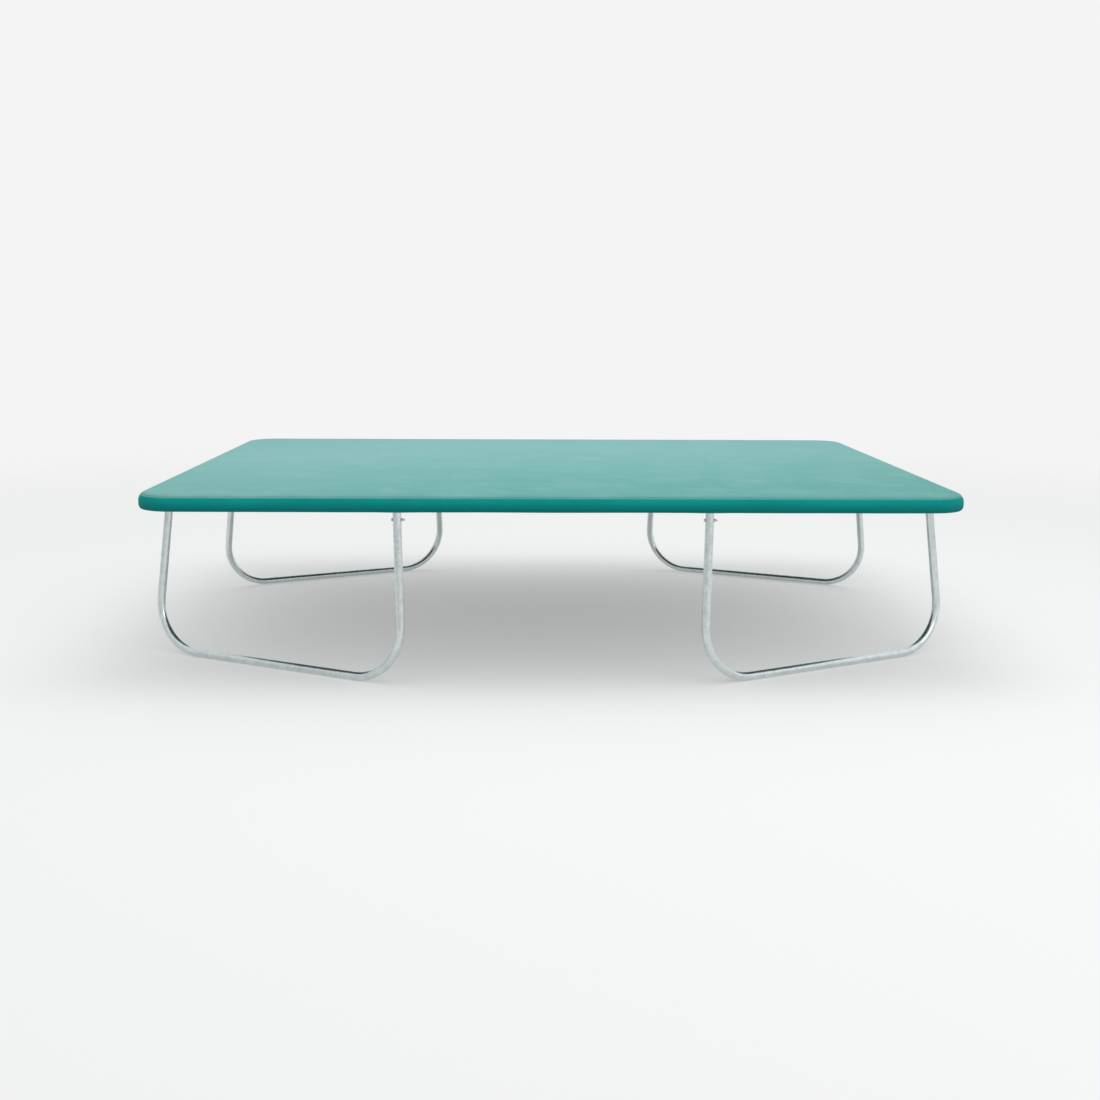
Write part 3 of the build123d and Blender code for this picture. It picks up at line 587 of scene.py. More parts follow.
def settle(piece):
    """Applies the piece's modifiers, so that it is a plain mesh."""
    bpy.context.view_layer.update()
    graph = bpy.context.evaluated_depsgraph_get()
    shaped = piece.evaluated_get(graph)
    mesh = bpy.data.meshes.new_from_object(shaped, preserve_all_data_layers=True, depsgraph=graph)
    piece.modifiers.clear()
    piece.data = mesh
    mesh.name = piece.name
    return piece


def thicken(piece, thickness):
    """Gives a sheet its thickness, kept under the outer face."""
    wall = piece.modifiers.new("wall", "SOLIDIFY")
    wall.thickness, wall.offset, wall.use_rim = thickness, -1.0, True
    return settle(piece)


def grid_faces(rows, count, closed):
    """Quads between rows of points."""
    last = count if closed else count - 1
    faces = []
    for k in range(rows - 1):
        here, below = k * count, (k + 1) * count
        for i in range(last):
            beside = (i + 1) % count
            faces.append((here + i, below + i, below + beside, here + beside))
    return faces


def grid_uvs(rows, count, closed, along, across):
    """Flat place of each face corner. along is each column's run, with one more to close; across is each row's."""
    last = count if closed else count - 1
    found = []
    for k in range(rows - 1):
        for i in range(last):
            found += [(along[i], across[k]), (along[i], across[k + 1])]
            found += [(along[i + 1], across[k + 1]), (along[i + 1], across[k])]
    return found


def sleeve_faces(rings, sides, closed=False):
    """Quads round a run of rings of points, with a cap on each end when it isn't closed."""
    faces = []
    for i in range(rings if closed else rings - 1):
        for k in range(sides):
            after, beside = (i + 1) % rings, (k + 1) % sides
            faces.append((i * sides + k, i * sides + beside, after * sides + beside, after * sides + k))
    if not closed:
        faces.append(tuple(reversed(range(sides))))
        faces.append(tuple((rings - 1) * sides + k for k in range(sides)))
    return faces


def wire_mesh(points, radius, sides, closed=False):
    """Points and faces of a round wire along a line."""
    line = [Vector(p) for p in points]
    count = len(line)
    if closed:
        runs = [(line[(i + 1) % count] - line[i - 1]).normalized() for i in range(count)]
    else:
        runs = [(line[min(i + 1, count - 1)] - line[max(i - 1, 0)]).normalized() for i in range(count)]
    side = runs[0].orthogonal().normalized()
    made = []
    for i in range(count):
        side = (side - runs[i] * side.dot(runs[i])).normalized()
        other = runs[i].cross(side)
        for k in range(sides):
            turn = 2 * math.pi * k / sides
            made.append(line[i] + radius * (math.cos(turn) * side + math.sin(turn) * other))
    return made, sleeve_faces(count, sides, closed)


def wire_piece(name, points, radius, sides, finish, closed=False):
    """A round wire or cord as a piece."""
    made, faces = wire_mesh(points, radius, sides, closed)
    return new_piece(name, made, faces, finish)


def ease(value):
    """0 to 1, smoothly."""
    value = min(1.0, max(0.0, value))
    return value * value * (3 - 2 * value)


def outline(inset, step):
    """Points and outward directions round the cover at that inset, anticlockwise from the front left."""
    radius = max(CORNER_R - inset, 0.0)
    middle = HALF_X - max(inset, CORNER_R), HALF_Y - max(inset, CORNER_R)
    lengths = 2 * (HALF_X - CORNER_R), 2 * (HALF_Y - CORNER_R)
    turns = [(-1, -1), (1, -1), (1, 1), (-1, 1), (-1, -1)]
    points, outwards = [], []
    for index, outward in enumerate([(0, -1), (1, 0), (0, 1), (-1, 0)]):
        centre_a = np.array([turns[index][0] * middle[0], turns[index][1] * middle[1]])
        centre_b = np.array([turns[index + 1][0] * middle[0], turns[index + 1][1] * middle[1]])
        push = np.array(outward, float) * radius
        count = round(lengths[index % 2] / step)
        for i in range(count):
            points.append(centre_a + push + (centre_b - centre_a) * i / count)
            outwards.append(np.array(outward, float))
        for i in range(CORNER_STEPS):
            angle = math.radians(-90 + 90 * index + 90 * i / CORNER_STEPS)
            way = np.array([math.cos(angle), math.sin(angle)])
            points.append(centre_b + radius * way)
            outwards.append(way)
    return np.array(points), np.array(outwards)


def runs_of(points):
    """How far along each point of a closed line is, with its whole length last."""
    steps = np.linalg.norm(np.roll(points, -1, axis=0) - points, axis=1)
    return np.concatenate([[0.0], np.cumsum(steps)])


def inset_of(x, y):
    """How far a point is inside the cover's outline."""
    from_x, from_y = HALF_X - abs(x), HALF_Y - abs(y)
    if from_x < CORNER_R and from_y < CORNER_R:
        return CORNER_R - math.hypot(CORNER_R - from_x, CORNER_R - from_y)
    return min(from_x, from_y)


# ------------------------------------------------------------------ trees that repeat a shape

def end_repeat(tree, placed, finish, out):
    """Turns the copies into real faces of one finish."""
    real = node(tree, "GeometryNodeRealizeInstances", {"Geometry": placed.outputs[0]})
    done = node(tree, "GeometryNodeSetMaterial", {"Geometry": real.outputs[0], "Material": finish})
    tree.links.new(done.outputs[0], out.inputs["Geometry"])


def spots_tree():
    """One shape on every spot, turned as the spot says."""
    tree, given, out = start_pattern(
        "shape_on_spots",
        [("Geometry", "NodeSocketGeometry", None), ("Shape", "NodeSocketObject", None),
         ("Finish", "NodeSocketMaterial", None)],
        [("Geometry", "NodeSocketGeometry")],
        kind="GeometryNodeTree",
    )
    shape = node(tree, "GeometryNodeObjectInfo", {"Object": given["Shape"]})
    turn = node(tree, "GeometryNodeInputNamedAttribute", {"Name": "turn"}, data_type="FLOAT_VECTOR")
    spin = node(tree, "FunctionNodeEulerToRotation", {0: turn.outputs[0]})
    placed = node(tree, "GeometryNodeInstanceOnPoints", {
        "Points": given["Geometry"], "Instance": shape.outputs["Geometry"], "Rotation": spin.outputs[0],
    })
    end_repeat(tree, placed, given["Finish"], out)
    return tree


def stitch_tree():
    """Stitches at an even spacing along a line."""
    tree, given, out = start_pattern(
        "stitches_along_line",
        [("Geometry", "NodeSocketGeometry", None), ("Stitch", "NodeSocketObject", None),
         ("Spacing", "NodeSocketFloat", STITCH_SPACING), ("Finish", "NodeSocketMaterial", None)],
        [("Geometry", "NodeSocketGeometry")],
        kind="GeometryNodeTree",
    )
    curve = node(tree, "GeometryNodeMeshToCurve", {"Mesh": given["Geometry"]})
    along = {"Curve": curve.outputs[0], "Length": given["Spacing"]}
    spots = node(tree, "GeometryNodeCurveToPoints", along, mode="LENGTH").outputs
    shape = node(tree, "GeometryNodeObjectInfo", {"Object": given["Stitch"]})
    placed = node(tree, "GeometryNodeInstanceOnPoints", {
        "Points": spots["Points"], "Instance": shape.outputs["Geometry"], "Rotation": spots["Rotation"],
    })
    end_repeat(tree, placed, given["Finish"], out)
    return tree


STITCH_SPACING = 0.009
SPOTS_TREE, STITCH_TREE = spots_tree(), stitch_tree()


def run_tree(piece, tree, **inputs):
    """Runs a tree on a piece with its named inputs, and leaves a plain mesh."""
    modifier = piece.modifiers.new("repeat", "NODES")
    modifier.node_group = tree
    for item in tree.interface.items_tree:
        if item.in_out == "INPUT" and item.name in inputs:
            modifier[item.identifier] = inputs[item.name]
    settle(piece)
    piece.data.shade_smooth()
    return piece


def on_spots(name, shape, spots, finish):
    """A copy of a shape on each spot, which is a point and a turn about Z."""
    mesh = bpy.data.meshes.new(name)
    mesh.from_pydata([tuple(point) for point, _ in spots], [], [])
    turns = mesh.attributes.new("turn", "FLOAT_VECTOR", "POINT")
    turns.data.foreach_set("vector", [v for _, angle in spots for v in (0.0, 0.0, angle)])
    return run_tree(add_object(name, mesh), SPOTS_TREE, Shape=shape, Finish=finish)


def stitched_line(name, points, finish, spacing=STITCH_SPACING, closed=True):
    """A row of stitches along a line."""
    count = len(points)
    mesh = bpy.data.meshes.new(name)
    edges = [(i, (i + 1) % count) for i in range(count if closed else count - 1)]
    mesh.from_pydata([tuple(p) for p in points], edges, [])
    return run_tree(add_object(name, mesh), STITCH_TREE, Stitch=STITCH, Spacing=spacing, Finish=finish)


def make_stitch():
    """One stitch along Z: a short thread with pinched ends."""
    rings = [(-0.0031, 0.25), (-0.0020, 0.9), (0.0020, 0.9), (0.0031, 0.25)]
    points = [
        (THREAD_R * share * math.cos(turn), THREAD_R * share * math.sin(turn), along)
        for along, share in rings for turn in (0.0, math.pi / 2, math.pi, 3 * math.pi / 2)
    ]
    return new_piece("one_stitch", points, sleeve_faces(len(rings), 4), TEAL_THREAD)


THREAD_R = 0.00055
STITCH = make_stitch()
PATTERN_SHAPES = [STITCH]


# ------------------------------------------------------------------ cover

def top_relief(x, y):
    """Height of the cover's top over the flat: a slight sag between the pads, and soft folds."""
    inset = inset_of(x, y)
    sag = COVER_SAG * ease((inset - 0.29) / 0.75)
    near = 1.0 + 1.6 * math.exp(-((x + 1.45) ** 2 / 0.9 + (y + 0.75) ** 2 / 0.5))
    long_folds = noise.noise(Vector((x * 2.1 + y * 1.1, y * 7.0, 0.3)))
    short_folds = noise.noise(Vector((x * 6.0 - y * 2.0, y * 19.0, 4.1)))
    across = noise.noise(Vector((x * 8.0, y * 2.2 + x, 9.7)))
    held = ease((inset - 0.035) / 0.10)
    pad_edge = 0.0012 * math.exp(-((inset - 0.312) / 0.03) ** 2)
    folds = held * 0.0009 * near * (1.0 + long_folds + 0.45 * short_folds + 0.4 * across)
    most = 0.0030 + 0.0040 * ease((inset - 0.31) / 0.10)
    return -sag - pad_edge - most * math.tanh(folds / most)


def make_cover_top():
    """Top panel, from the middle out to the seam on the rounded edge."""
    step = 0.030
    insets = list(np.arange(HALF_Y, EDGE_R, -step)) + [EDGE_R]
    rows = [(inset, TOP) for inset in insets]
    for turn in np.linspace(0, PANEL_TURN, 7)[1:]:
        angle = math.radians(turn)
        rows.append((EDGE_R * (1 - math.sin(angle)), TOP - EDGE_R + EDGE_R * math.cos(angle)))
    points = []
    for inset, z in rows:
        ring, _ = outline(inset, step)
        points += [(x, y, z + (top_relief(x, y) if inset > EDGE_R else 0.0)) for x, y in ring]
    count = len(outline(0, step)[0])
    faces = grid_faces(len(rows), count, True)
    uvs = [points[i][:2] for face in faces for i in face]
    top = tidy(new_piece("cover_top_panel", points, faces, COVER_TOP_CLOTH, uvs), outward=False)
    return thicken(top, CLOTH_T)


def edge_row(inset, z, step, post_hug=False):
    """One ring of points down the cover's edge, gathered clear of the leg sockets where it turns in."""
    ring, outwards = outline(0, step)
    points = []
    for (x, y), way in zip(ring, outwards):
        reach = inset
        if post_hug:
            near = min(math.hypot(x - post.x, y - post.y) for post in POST_PLACES)
            reach = min(inset, 0.0032 + 0.11 * max(0.0, near - 0.045))
        low = ease((TOP - 0.03 - z) / 0.06)
        ripple = noise.noise(Vector((x * 21.0, y * 21.0, z * 9.0)))
        slow = noise.noise(Vector((x * 2.3, y * 2.3, 2.0)))
        reach += low * 0.0006 * (1 + ripple) + 0.0004 * (1 + slow)
        points.append((x - way[0] * reach, y - way[1] * reach, z + low * 0.0012 * slow))
    return points


def make_cover_band():
    """Edge band and the hem that turns in below the rail, one strip of cloth."""
    step = 0.015
    rows, across = [], [0.0]
    for turn in np.linspace(PANEL_TURN, 90, 8):
        angle = math.radians(turn)
        rows.append((EDGE_R * (1 - math.sin(angle)), TOP - EDGE_R + EDGE_R * math.cos(angle), False))
    for z in np.linspace(TOP - EDGE_R, BAND_BOTTOM, 5)[1:]:
        rows.append((0.0, z, False))
    for turn in np.linspace(90, 90 + HEM_TURN, 9)[1:]:
        angle = math.radians(turn)
        rows.append((HEM_R * (1 - math.sin(angle)), BAND_BOTTOM + HEM_R * math.cos(angle), True))
    for (a, z, _), (b, w, _) in zip(rows, rows[1:]):
        across.append(across[-1] + math.hypot(b - a, w - z))
    points = [p for inset, z, hug in rows for p in edge_row(inset, z, step, hug)]
    along = runs_of(outline(0, step)[0])
    count = len(along) - 1
    faces = grid_faces(len(rows), count, True)
    uvs = grid_uvs(len(rows), count, True, along, across)
    return thicken(new_piece("cover_edge_band", points, faces, COVER_EDGE_CLOTH, uvs), CLOTH_T), across[-1]


def make_cover():
    """The whole loose cover, which lifts off."""
    step = 0.015
    top = make_cover_top()
    band, band_width = make_cover_band()
    ring, outwards = outline(0, step)
    seams = []
    for name, turn in (("cover_seam_stitches_upper", 34.0), ("cover_seam_stitches_lower", 46.0)):
        angle = math.radians(turn)
        reach, z = EDGE_R * (1 - math.sin(angle)), TOP - EDGE_R + EDGE_R * math.cos(angle)
        line = [(x - w[0] * reach, y - w[1] * reach, z) for (x, y), w in zip(ring, outwards)]
        seams.append(stitched_line(name, line, TEAL_THREAD))
    line = [(x - w[0] * 0.0004, y - w[1] * 0.0004, BAND_BOTTOM + 0.005) for (x, y), w in zip(ring, outwards)]
    seams.append(stitched_line("cover_hem_stitches", line, TEAL_THREAD))
    line = [(x - w[0] * 0.0038, y - w[1] * 0.0038, BAND_BOTTOM - 0.002) for (x, y), w in zip(ring, outwards)]
    elastic = wire_piece("cover_hem_elastic", line, 0.0016, 8, ELASTIC, closed=True)
    for piece in (top, band, elastic, *seams):
        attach(piece, "cover")
    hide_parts("cover_top")
    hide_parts("cover_band", "cover_hem")
    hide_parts("cover_elastic")


# ------------------------------------------------------------------ pads

def pad_plan(side):
    """Half length, and whether its ends reach the cover's own corners."""
    if side in ("front", "back"):
        return HALF_X - PAD_OUTER, True
    return HALF_Y - PAD_OUTER - PAD_WIDTH - 0.002, False


def to_side(side, along, inwards, z):
    """Point that far along a side and that far in from the cover's outline."""
    ox, oy = SIDES[side]
    reach = HALF_Y if side in ("front", "back") else HALF_X
    return (ox * (reach - inwards) - oy * along, oy * (reach - inwards) + ox * along, z)


def under_cover(inset):
    """Highest a pad may be at that inset, just inside the cover's rounded edge."""
    if inset >= EDGE_R:
        return PAD_TOP
    drop = max(PAD_COVER_R ** 2 - (EDGE_R - inset) ** 2, 0.0)
    return min(PAD_TOP, TOP - EDGE_R + math.sqrt(drop))


def make_pad(side):
    """A long foam pad in its sleeve, crowned, with cross seams."""
    half, to_corners = pad_plan(side)
    channels = [half * share
                for share in ((-0.66, -0.33, 0.0, 0.33, 0.66) if to_corners else (-0.5, 0.0, 0.5))]
    near = (0.0, 0.003, 0.007, 0.013, 0.022, 0.035, 0.055, 0.080, 0.108)
    stops = set()
    for stop in np.arange(-half + 0.13, half - 0.12, 0.035):
        stops.add(round(float(stop), 4))
    for stop in near:
        stops.update((round(half - stop, 4), round(stop - half, 4)))
    for channel in channels:
        for off in (-0.018, -0.011, -0.006, -0.003, 0.0, 0.003, 0.006, 0.011, 0.018):
            stops.add(round(channel + off, 4))
    along = sorted(stops)
    across = sorted({*near, *(PAD_WIDTH - n for n in near[:7]), *np.arange(0.135, PAD_WIDTH - 0.07, 0.028)})
    radius = CORNER_R - PAD_OUTER
    tops, bottoms = [], []
    for inwards in across:
        for run in along:
            place = run
            if to_corners and inwards < radius:
                short = radius - math.sqrt(radius ** 2 - (radius - inwards) ** 2)
                beyond = abs(run) - (half - radius)
                if beyond > 0:
                    place = math.copysign(half - radius + beyond * (radius - short) / radius, run)
            x, y, _ = to_side(side, place, PAD_OUTER + inwards, 0)
            inset = max(inset_of(x, y), PAD_OUTER)
            inner = PAD_WIDTH - inwards if to_corners else min(PAD_WIDTH - inwards, half - abs(place))
            bulge = math.sqrt(max(0.0, 1 - (1 - min(inner / 0.015, 1.0)) ** 2))
            middle = (PAD_TOP + PAD_BOTTOM) / 2
            roof = under_cover(inset)
            groove = 0.0042 * max(math.exp(-((place - channel) / 0.0055) ** 2) for channel in channels)
            puckers = 0.0005 * (1 + noise.noise(Vector((x * 26.0, y * 26.0, 1.0))))
            top = middle + (roof - middle) * max(bulge, 0.12) - (groove + puckers) * bulge
            if roof < middle:
                top = roof
            low = middle - (middle - PAD_BOTTOM) * max(bulge, 0.12)
            tops.append((x, y, min(top, roof)))
            bottoms.append((x, y, min(low, min(top, roof) - 0.0015)))
    count, rows = len(along), len(across)
    size = rows * count
    faces = [tuple(reversed(face)) for face in grid_faces(rows, count, False)]
    faces += [tuple(size + i for i in reversed(face)) for face in faces]
    edge = [i for i in range(count)] + [k * count + count - 1 for k in range(1, rows)]
    edge += [(rows - 1) * count + i for i in range(count - 2, -1, -1)] + [k * count
                                                                          for k in range(rows - 2, 0, -1)]
    for a, b in zip(edge, edge[1:] + edge[:1]):
        faces.append((a, size + a, size + b, b))
    return tidy(new_piece(f"pad_{side}", tops + bottoms, faces, VINYL))


def puff(pads):
    """Fills the pads with a little pressure so that their cloth settles into soft creases."""
    limit = 0.0011
    for pad in pads:
        cloth = pad.modifiers.new("filling", "CLOTH")
        cloth.settings.quality = 4
        cloth.settings.mass = 0.3
        cloth.settings.use_pressure = True
        cloth.settings.uniform_pressure_force = 2.0
        cloth.settings.tension_stiffness = cloth.settings.compression_stiffness = 12.0
        cloth.settings.bending_stiffness = 0.3
        cloth.settings.effector_weights.gravity = 0.0
        cloth.point_cache.frame_end = 14
    for step in range(1, 15):
        bpy.context.scene.frame_set(step)
    graph = bpy.context.evaluated_depsgraph_get()
    for pad in pads:
        moved = np.zeros(len(pad.data.vertices) * 3)
        pad.evaluated_get(graph).data.vertices.foreach_get("co", moved)
        rest = np.zeros_like(moved)
        pad.data.vertices.foreach_get("co", rest)
        moved, rest = moved.reshape(-1, 3), rest.reshape(-1, 3)
        way = moved - rest
        way[:, :2] = 0.0
        far = np.abs(way[:, 2])
        way[:, 2] = np.sign(way[:, 2]) * limit * np.tanh(far / limit)
        new = rest + way
        roof = np.array([under_cover(max(inset_of(x, y), PAD_OUTER)) for x, y, _ in rest])
        new[:, 2] = np.clip(new[:, 2], np.minimum(rest[:, 2], PAD_BOTTOM + 0.0003), roof)
        pad.modifiers.clear()
        pad.data.vertices.foreach_set("co", new.ravel())
        pad.data.update()
    bpy.context.scene.frame_set(1)


def make_pad_skirts():
    """Short skirts that hang from the pads outside the rail."""
    ring, outwards = outline(0, 0.05)
    joint = HALF_Y - PAD_OUTER - PAD_WIDTH - 0.001
    for side in SIDES:
        ox, oy = SIDES[side]
        if side in ("front", "back"):
            keep = [i for i, (x, y) in enumerate(ring) if y * oy > joint + 0.001]
        else:
            keep = [i for i, (x, y) in enumerate(ring) if x * ox > HALF_X - 1e-6 and abs(y) < joint - 0.001]
        start = next(i for i in keep if (i - 1) % len(ring) not in keep)
        order = [(start + i) % len(ring) for i in range(len(keep))]
        rows, points = [PAD_BOTTOM - drop for drop in (0.0049, 0.0083, 0.0115, 0.0140, 0.0153)], []
        for z in rows:
            for i in order:
                x, y = ring[i]
                wave = 0.0022 + 0.0005 * (1 + noise.noise(Vector((x * 30.0, y * 30.0, 3.0))))
                points.append((x - outwards[i][0] * wave, y - outwards[i][1] * wave, z))
        length = sum(math.dist(points[i], points[i + 1]) for i in range(len(order) - 1))
        along = np.linspace(0, length, len(order))
        faces = grid_faces(len(rows), len(order), False)
        uvs = grid_uvs(len(rows), len(order), False, along, [rows[0] - z for z in rows])
        skirt = thicken(new_piece(f"pad_skirt_{side}", points, faces, VINYL, uvs), 0.0010)
        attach(skirt, "frame")


def make_ties():
    """Elastic loops round the rail between the springs, doubled and sewn on top."""
    profile = [(-1, -0.6), (-0.8, -1), (0.8, -1), (1, -0.6), (1, 0.6), (0.8, 1), (-0.8, 1), (-1, 0.6)]
    inner, thick, segments = RAIL_R + 0.0004, 0.0011, 44
    points, faces = [], []
    for i in range(segments):
        turn = 2 * math.pi * i / segments
        doubled = 0.0 if abs(math.atan2(math.sin(turn - math.pi / 2),
                                        math.cos(turn - math.pi / 2))) > 0.5 else 0.00025
        for across, out in profile:
            reach = inner + thick / 2 + out * (thick / 2 + doubled * (out > 0))
            points.append((across * TIE_WIDTH / 2, reach * math.cos(turn), reach * math.sin(turn)))
    for i in range(segments):
        for k in range(8):
            after, beside = (i + 1) % segments, (k + 1) % 8
            faces.append((i * 8 + k, i * 8 + beside, after * 8 + beside, after * 8 + k))
    shape = tidy(new_piece("one_tie", points, faces, ELASTIC))
    PATTERN_SHAPES.append(shape)
    spots = []
    step = SPAN_X / (COUNT_X - 1)
    for y in (-RAIL_Y, RAIL_Y):
        for i in range(TIES_ON_LONG):
            place = round((i + 0.5 - TIES_ON_LONG / 2) * SPAN_X / TIES_ON_LONG / step) * step
            spots.append(((place, y, RAIL_Z), 0.0))
    step = SPAN_Y / (COUNT_Y - 1)
    for x in (-RAIL_X, RAIL_X):
        for i in range(TIES_ON_SHORT):
            place = round((i + 0.5 - TIES_ON_SHORT / 2) * SPAN_Y / TIES_ON_SHORT / step) * step
            spots.append(((x, place, RAIL_Z), math.pi / 2))
    ties = on_spots("pad_tie_loops", shape, spots, ELASTIC)
    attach(ties, "frame")
    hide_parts("pad_ties")


def make_pads():
    """Four edge pads with their skirts, welts, seam stitches and ties."""
    pads = {side: make_pad(side) for side in SIDES}
    puff(list(pads.values()))
    for side, pad in pads.items():
        half, _ = pad_plan(side)
        inset = PAD_OUTER + PAD_WIDTH
        ends = half - 0.31 if side in ("front", "back") else half
        line = [to_side(side, run, inset + 0.0008, PAD_BOTTOM + 0.0165)
                for run in np.linspace(-ends, ends, 60)]
        welt = wire_piece(f"pad_welt_{side}", line, 0.0018, 8, VINYL)
        row = [to_side(side, run, inset - 0.0120, PAD_TOP - 0.0004) for run in np.linspace(-ends, ends, 60)]
        stitches = stitched_line(f"pad_stitches_{side}", row, PALE_THREAD, spacing=0.012, closed=False)
        for piece in (pad, welt, stitches):
            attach(piece, "frame")
        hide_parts(f"pad_skin_{side}", f"pad_foam_{side}")
    make_pad_skirts()
    make_ties()


# ------------------------------------------------------------------ bed: mat, webbing, rings and springs

def bend_with(piece):
    """Bakes the piece's placement into its mesh; the piece is not bent."""
    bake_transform(piece)


def hook_spots(group):
    """Where each spring of a side hooks into the rail, and which way it runs."""
    if group in CORNERS:
        sx, sy = CORNERS[group]
        reach = (CORNER_R - RAIL_INSIDE) / math.sqrt(2)
        point = (sx * (HALF_X - CORNER_R + reach), sy * (HALF_Y - CORNER_R + reach), RAIL_Z)
        return [(point, math.atan2(-sy, -sx))]
    ox, oy = SIDES[group]
    span, count = (SPAN_X, COUNT_X) if ox == 0 else (SPAN_Y, COUNT_Y)
    spots = []
    for i in range(count):
        run = span * (i / (count - 1) - 0.5)
        x, y, _ = to_side(group, run, RAIL_INSIDE, 0)
        spots.append(((x, y, RAIL_Z), math.atan2(-oy, -ox)))
    return spots


def bent(points, radius, steps=4):
    """A line of straight runs with its inner corners rounded."""
    line = [Vector(p) for p in points]
    made = [line[0]]
    for before, here, after in zip(line, line[1:], line[2:]):
        a, b = (before - here).normalized(), (after - here).normalized()
        half = a.angle(b) / 2
        back = min(radius / math.tan(half), (before - here).length * 0.49, (after - here).length * 0.49)
        start, end = here + a * back, here + b * back
        for i in range(steps + 1):
            t = i / steps
            made.append(start * (1 - t) ** 2 + here * 2 * t * (1 - t) + end * t ** 2)
    return made + [line[-1]]


def spring_shape():
    """One extension spring: hook, tapered close coil and hook, all one wire."""
    radius = (SPRING_D - SPRING_WIRE) / 2
    start = (SPRING_LENGTH - COIL_LENGTH) / 2
    hook_end = SPRING_LENGTH + 0.0026
    first = bent([(-HOOK_INTO_RAIL, 0, -HOOK_DROP), (-HOOK_INTO_RAIL, 0, 0), (start - 0.010, 0, 0)], 0.004)
    coil = []
    per_turn = 10
    for i in range(COIL_TURNS * per_turn + 1):
        share = i / (COIL_TURNS * per_turn)
        taper = ease(min(share, 1 - share) * COIL_TURNS / 1.6)
        turn = 2 * math.pi * i / per_turn
        reach = radius * (0.12 + 0.88 * taper)
        along = start + 0.002 + (COIL_LENGTH - 0.004) * share
        coil.append((along, reach * math.cos(turn), reach * math.sin(turn)))
    last = bent([(SPRING_LENGTH - start + 0.010, 0, 0), (hook_end, 0, 0), (hook_end, 0, -HOOK_DROP)], 0.004)
    points, faces = wire_mesh([*first, *coil, *last], SPRING_WIRE / 2, 5)
    shape = new_piece("one_spring", points, faces, SPRING_STEEL)
    PATTERN_SHAPES.append(shape)
    return shape


def ring_shape():
    """One V-ring lying flat, its apex towards the spring."""
    half = RING_WIDTH / 2
    corners = [(RING_BAR, 0, 0), (RING_BAR, half, 0), (-RING_CORNER_R, 0, 0), (RING_BAR, -half, 0),
               (RING_BAR, 0, 0)]
    line = bent(corners, RING_CORNER_R, 5)[:-1]
    points, faces = wire_mesh(line, RING_WIRE / 2, 8, closed=True)
    shape = new_piece("one_ring", points, faces, PLATED)
    PATTERN_SHAPES.append(shape)
    return shape


def loop_shape():
    """The webbing loop round a ring's base bar, its two ends sewn over and under the bed."""
    middle = [(RING_BAR + 0.032, 0.0040), (RING_BAR + 0.018, 0.0041), (RING_BAR + 0.006, 0.0038)]
    for turn in range(80, 281, 20):
        angle = math.radians(turn)
        middle.append((RING_BAR + 0.0031 * math.cos(angle), 0.0002 + 0.0031 * math.sin(angle)))
    middle += [(RING_BAR + 0.006, -0.0026), (RING_BAR + 0.018, -0.0017), (RING_BAR + 0.032, -0.0017)]
    line = [Vector((x, 0, z)) for x, z in middle]
    profile = [(-1, -1), (1, -1), (1, 1), (-1, 1)]
    points, faces = [], []
    for i, here in enumerate(line):
        run = (line[min(i + 1, len(line) - 1)] - line[max(i - 1, 0)]).normalized()
        out = run.cross(Vector((0, 1, 0)))
        for across, up in profile:
            points.append(here + Vector((0, across * LOOP_WIDTH / 2, 0)) + out * (up * 0.0006))
    for i in range(len(line) - 1):
        for k in range(4):
            beside = (k + 1) % 4
            faces.append((i * 4 + k, i * 4 + beside, (i + 1) * 4 + beside, (i + 1) * 4 + k))
    faces += [(3, 2, 1, 0), tuple((len(line) - 1) * 4 + k for k in range(4))]
    shape = tidy(new_piece("one_loop", points, faces, WEBBING))
    PATTERN_SHAPES.append(shape)
    return shape


def make_springs_and_rings():
    """Springs, rings and loops of each side and corner."""
    spring, ring, loop = spring_shape(), ring_shape(), loop_shape()
    for group in (*SIDES, *CORNERS):
        hooks = hook_spots(group)
        ends = [
            ((x + SPRING_LENGTH * math.cos(angle), y + SPRING_LENGTH * math.sin(angle), RING_Z), angle)
            for (x, y, _), angle in hooks
        ]
        springs = on_spots(f"spring_set_{group}", spring, hooks, SPRING_STEEL)
        rings = on_spots(f"ring_set_{group}", ring, ends, PLATED)
        loops = on_spots(f"loop_set_{group}", loop, ends, WEBBING)
        for piece, slot in ((springs, "spring_wire"), (rings, "zinc_fasteners"), (loops, "bed_webbing")):
            bend_with(piece)
        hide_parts(f"springs_{group}" if group in SIDES else "springs_corner")
        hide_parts("mat_rings")
        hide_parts("webbing_loops")


def bed_row(group, inset):
    """Half length of a side's share of the bed, that far in from the mat's edge."""
    half = MAT_X if group in ("front", "back") else MAT_Y
    return half - inset


def on_bed(group, run, inset, z):
    """Point that far along a side of the bed and that far in from the mat's edge."""
    ox, oy = SIDES[group]
    reach = (MAT_Y if ox == 0 else MAT_X) - inset
    return (ox * reach - oy * run, oy * reach + ox * run, z)


def make_bed_panel(group):
    """A side's share of the woven bed, out to the mitre lines."""
    depth = MAT_Y
    insets = [0.0, 0.0225, 0.045] + list(np.linspace(0.045, depth, 36)[1:])
    columns = 101 if group in ("front", "back") else 71
    points = []
    for inset in insets:
        half = bed_row(group, inset)
        points += [on_bed(group, half * share, inset, MAT_TOP) for share in np.linspace(-1, 1, columns)]
    faces = [tuple(reversed(face)) for face in grid_faces(len(insets), columns, False)]
    panel = tidy(new_piece(f"bed_panel_{group}", points, faces, BED), outward=False)
    thicken(panel, MAT_T)
    bend_with(panel)
    half = bed_row(group, 0)
    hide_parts("jump_mat")


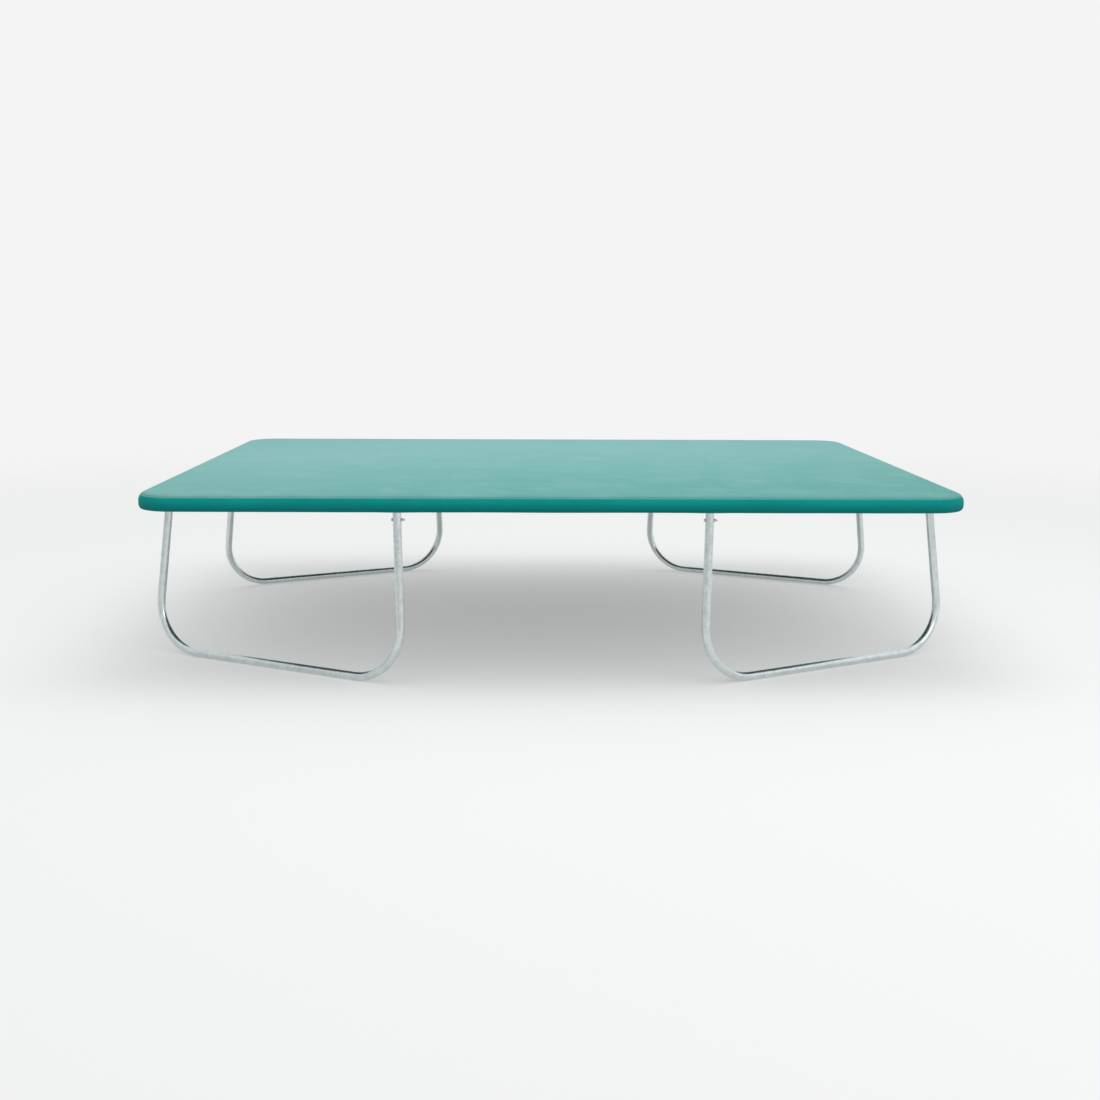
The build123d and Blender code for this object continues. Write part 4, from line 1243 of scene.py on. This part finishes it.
def make_bed_webbing(group):
    """Webbing sewn along a side of the bed, mitred at the corners, with two rows of stitches."""
    low, high = MAT_TOP + 0.0001, MAT_TOP + WEBBING_T
    section = [(0.0, low + 0.0004), (0.0, high - 0.0006), (0.0012, high), (WEBBING_WIDTH - 0.0012, high),
               (WEBBING_WIDTH, high - 0.0006), (WEBBING_WIDTH, low + 0.0004), (WEBBING_WIDTH - 0.0012, low),
               (0.0012, low)]
    columns = 97 if group in ("front", "back") else 65
    points = []
    for inset, z in section:
        half = bed_row(group, inset)
        points += [on_bed(group, half * share, inset, z) for share in np.linspace(-1, 1, columns)]
    faces = grid_faces(len(section), columns, False)
    last = len(section) - 1
    faces += [(last * columns + i, i, i + 1, last * columns + i + 1) for i in range(columns - 1)]
    faces.append(tuple(k * columns for k in range(len(section))))
    faces.append(tuple(k * columns + columns - 1 for k in reversed(range(len(section)))))
    strip = tidy(new_piece(f"bed_webbing_{group}", points, faces, WEBBING, smooth=False))
    rows = []
    for index, inset in enumerate((0.005, WEBBING_WIDTH - 0.005)):
        half = bed_row(group, inset) - 0.004
        line = [on_bed(group, run, inset, high + 0.0001) for run in np.linspace(-half, half, columns)]
        rows.append(stitched_line(f"bed_stitches_{group}_{index + 1}", line, PALE_THREAD, spacing=0.010,
                                  closed=False))
    for piece in (strip, *rows):
        bend_with(piece)
    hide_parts("mat_webbing")
    half = bed_row(group, 0)


def make_corner_tab(corner):
    """Webbing tab that reaches out from the bed's corner to its own ring."""
    (x, y, _), angle = hook_spots(corner)[0]
    run = Vector((math.cos(angle), math.sin(angle), 0))
    side = Vector((-run.y, run.x, 0))
    start = Vector((x, y, 0)) + run * (SPRING_LENGTH + RING_BAR + 0.006)
    sx, sy = CORNERS[corner]
    length = (Vector((sx * MAT_X, sy * MAT_Y, 0)) - start).length + WEBBING_WIDTH
    low, high, half = MAT_TOP + WEBBING_T + 0.0001, MAT_TOP + WEBBING_T + 0.0019, 0.020
    section = [(-half, low), (half, low), (half, high - 0.0004), (half - 0.001, high), (-half + 0.001, high),
               (-half, high - 0.0004)]
    points, faces, steps, size = [], [], 18, len(section)
    for i in range(steps):
        here = start + run * (length * i / (steps - 1))
        points += [here + side * across + Vector((0, 0, z)) for across, z in section]
    for i in range(steps - 1):
        for k in range(size):
            faces.append((i * size + k, i * size + (k + 1) % size, (i + 1) * size + (k + 1) % size,
                          (i + 1) * size + k))
    faces += [tuple(reversed(range(size))), tuple((steps - 1) * size + k for k in range(size))]
    tab = tidy(new_piece(f"corner_tab_{corner}", points, faces, WEBBING, smooth=False))
    bend_with(tab)


def make_bed():
    """The woven bed with its webbing, rings and springs."""
    make_springs_and_rings()
    for group in SIDES:
        make_bed_panel(group)
        make_bed_webbing(group)
    for corner in CORNERS:
        make_corner_tab(corner)


# ------------------------------------------------------------------ steel parts from the frame

def finish_steel():
    """Gives the frame's own tubes and fasteners their finishes."""
    for name, piece in nodes.items():
        if piece.hide_render:
            continue
        plated = name in ("leg_bolts", "leg_nuts", "leg_washers", "rail_screws")
        piece.data.materials.clear()
        piece.data.materials.append(PLATED if plated else TUBE)


make_pads()
make_cover()
make_bed()
finish_steel()
for shape in PATTERN_SHAPES:
    bpy.data.objects.remove(shape)
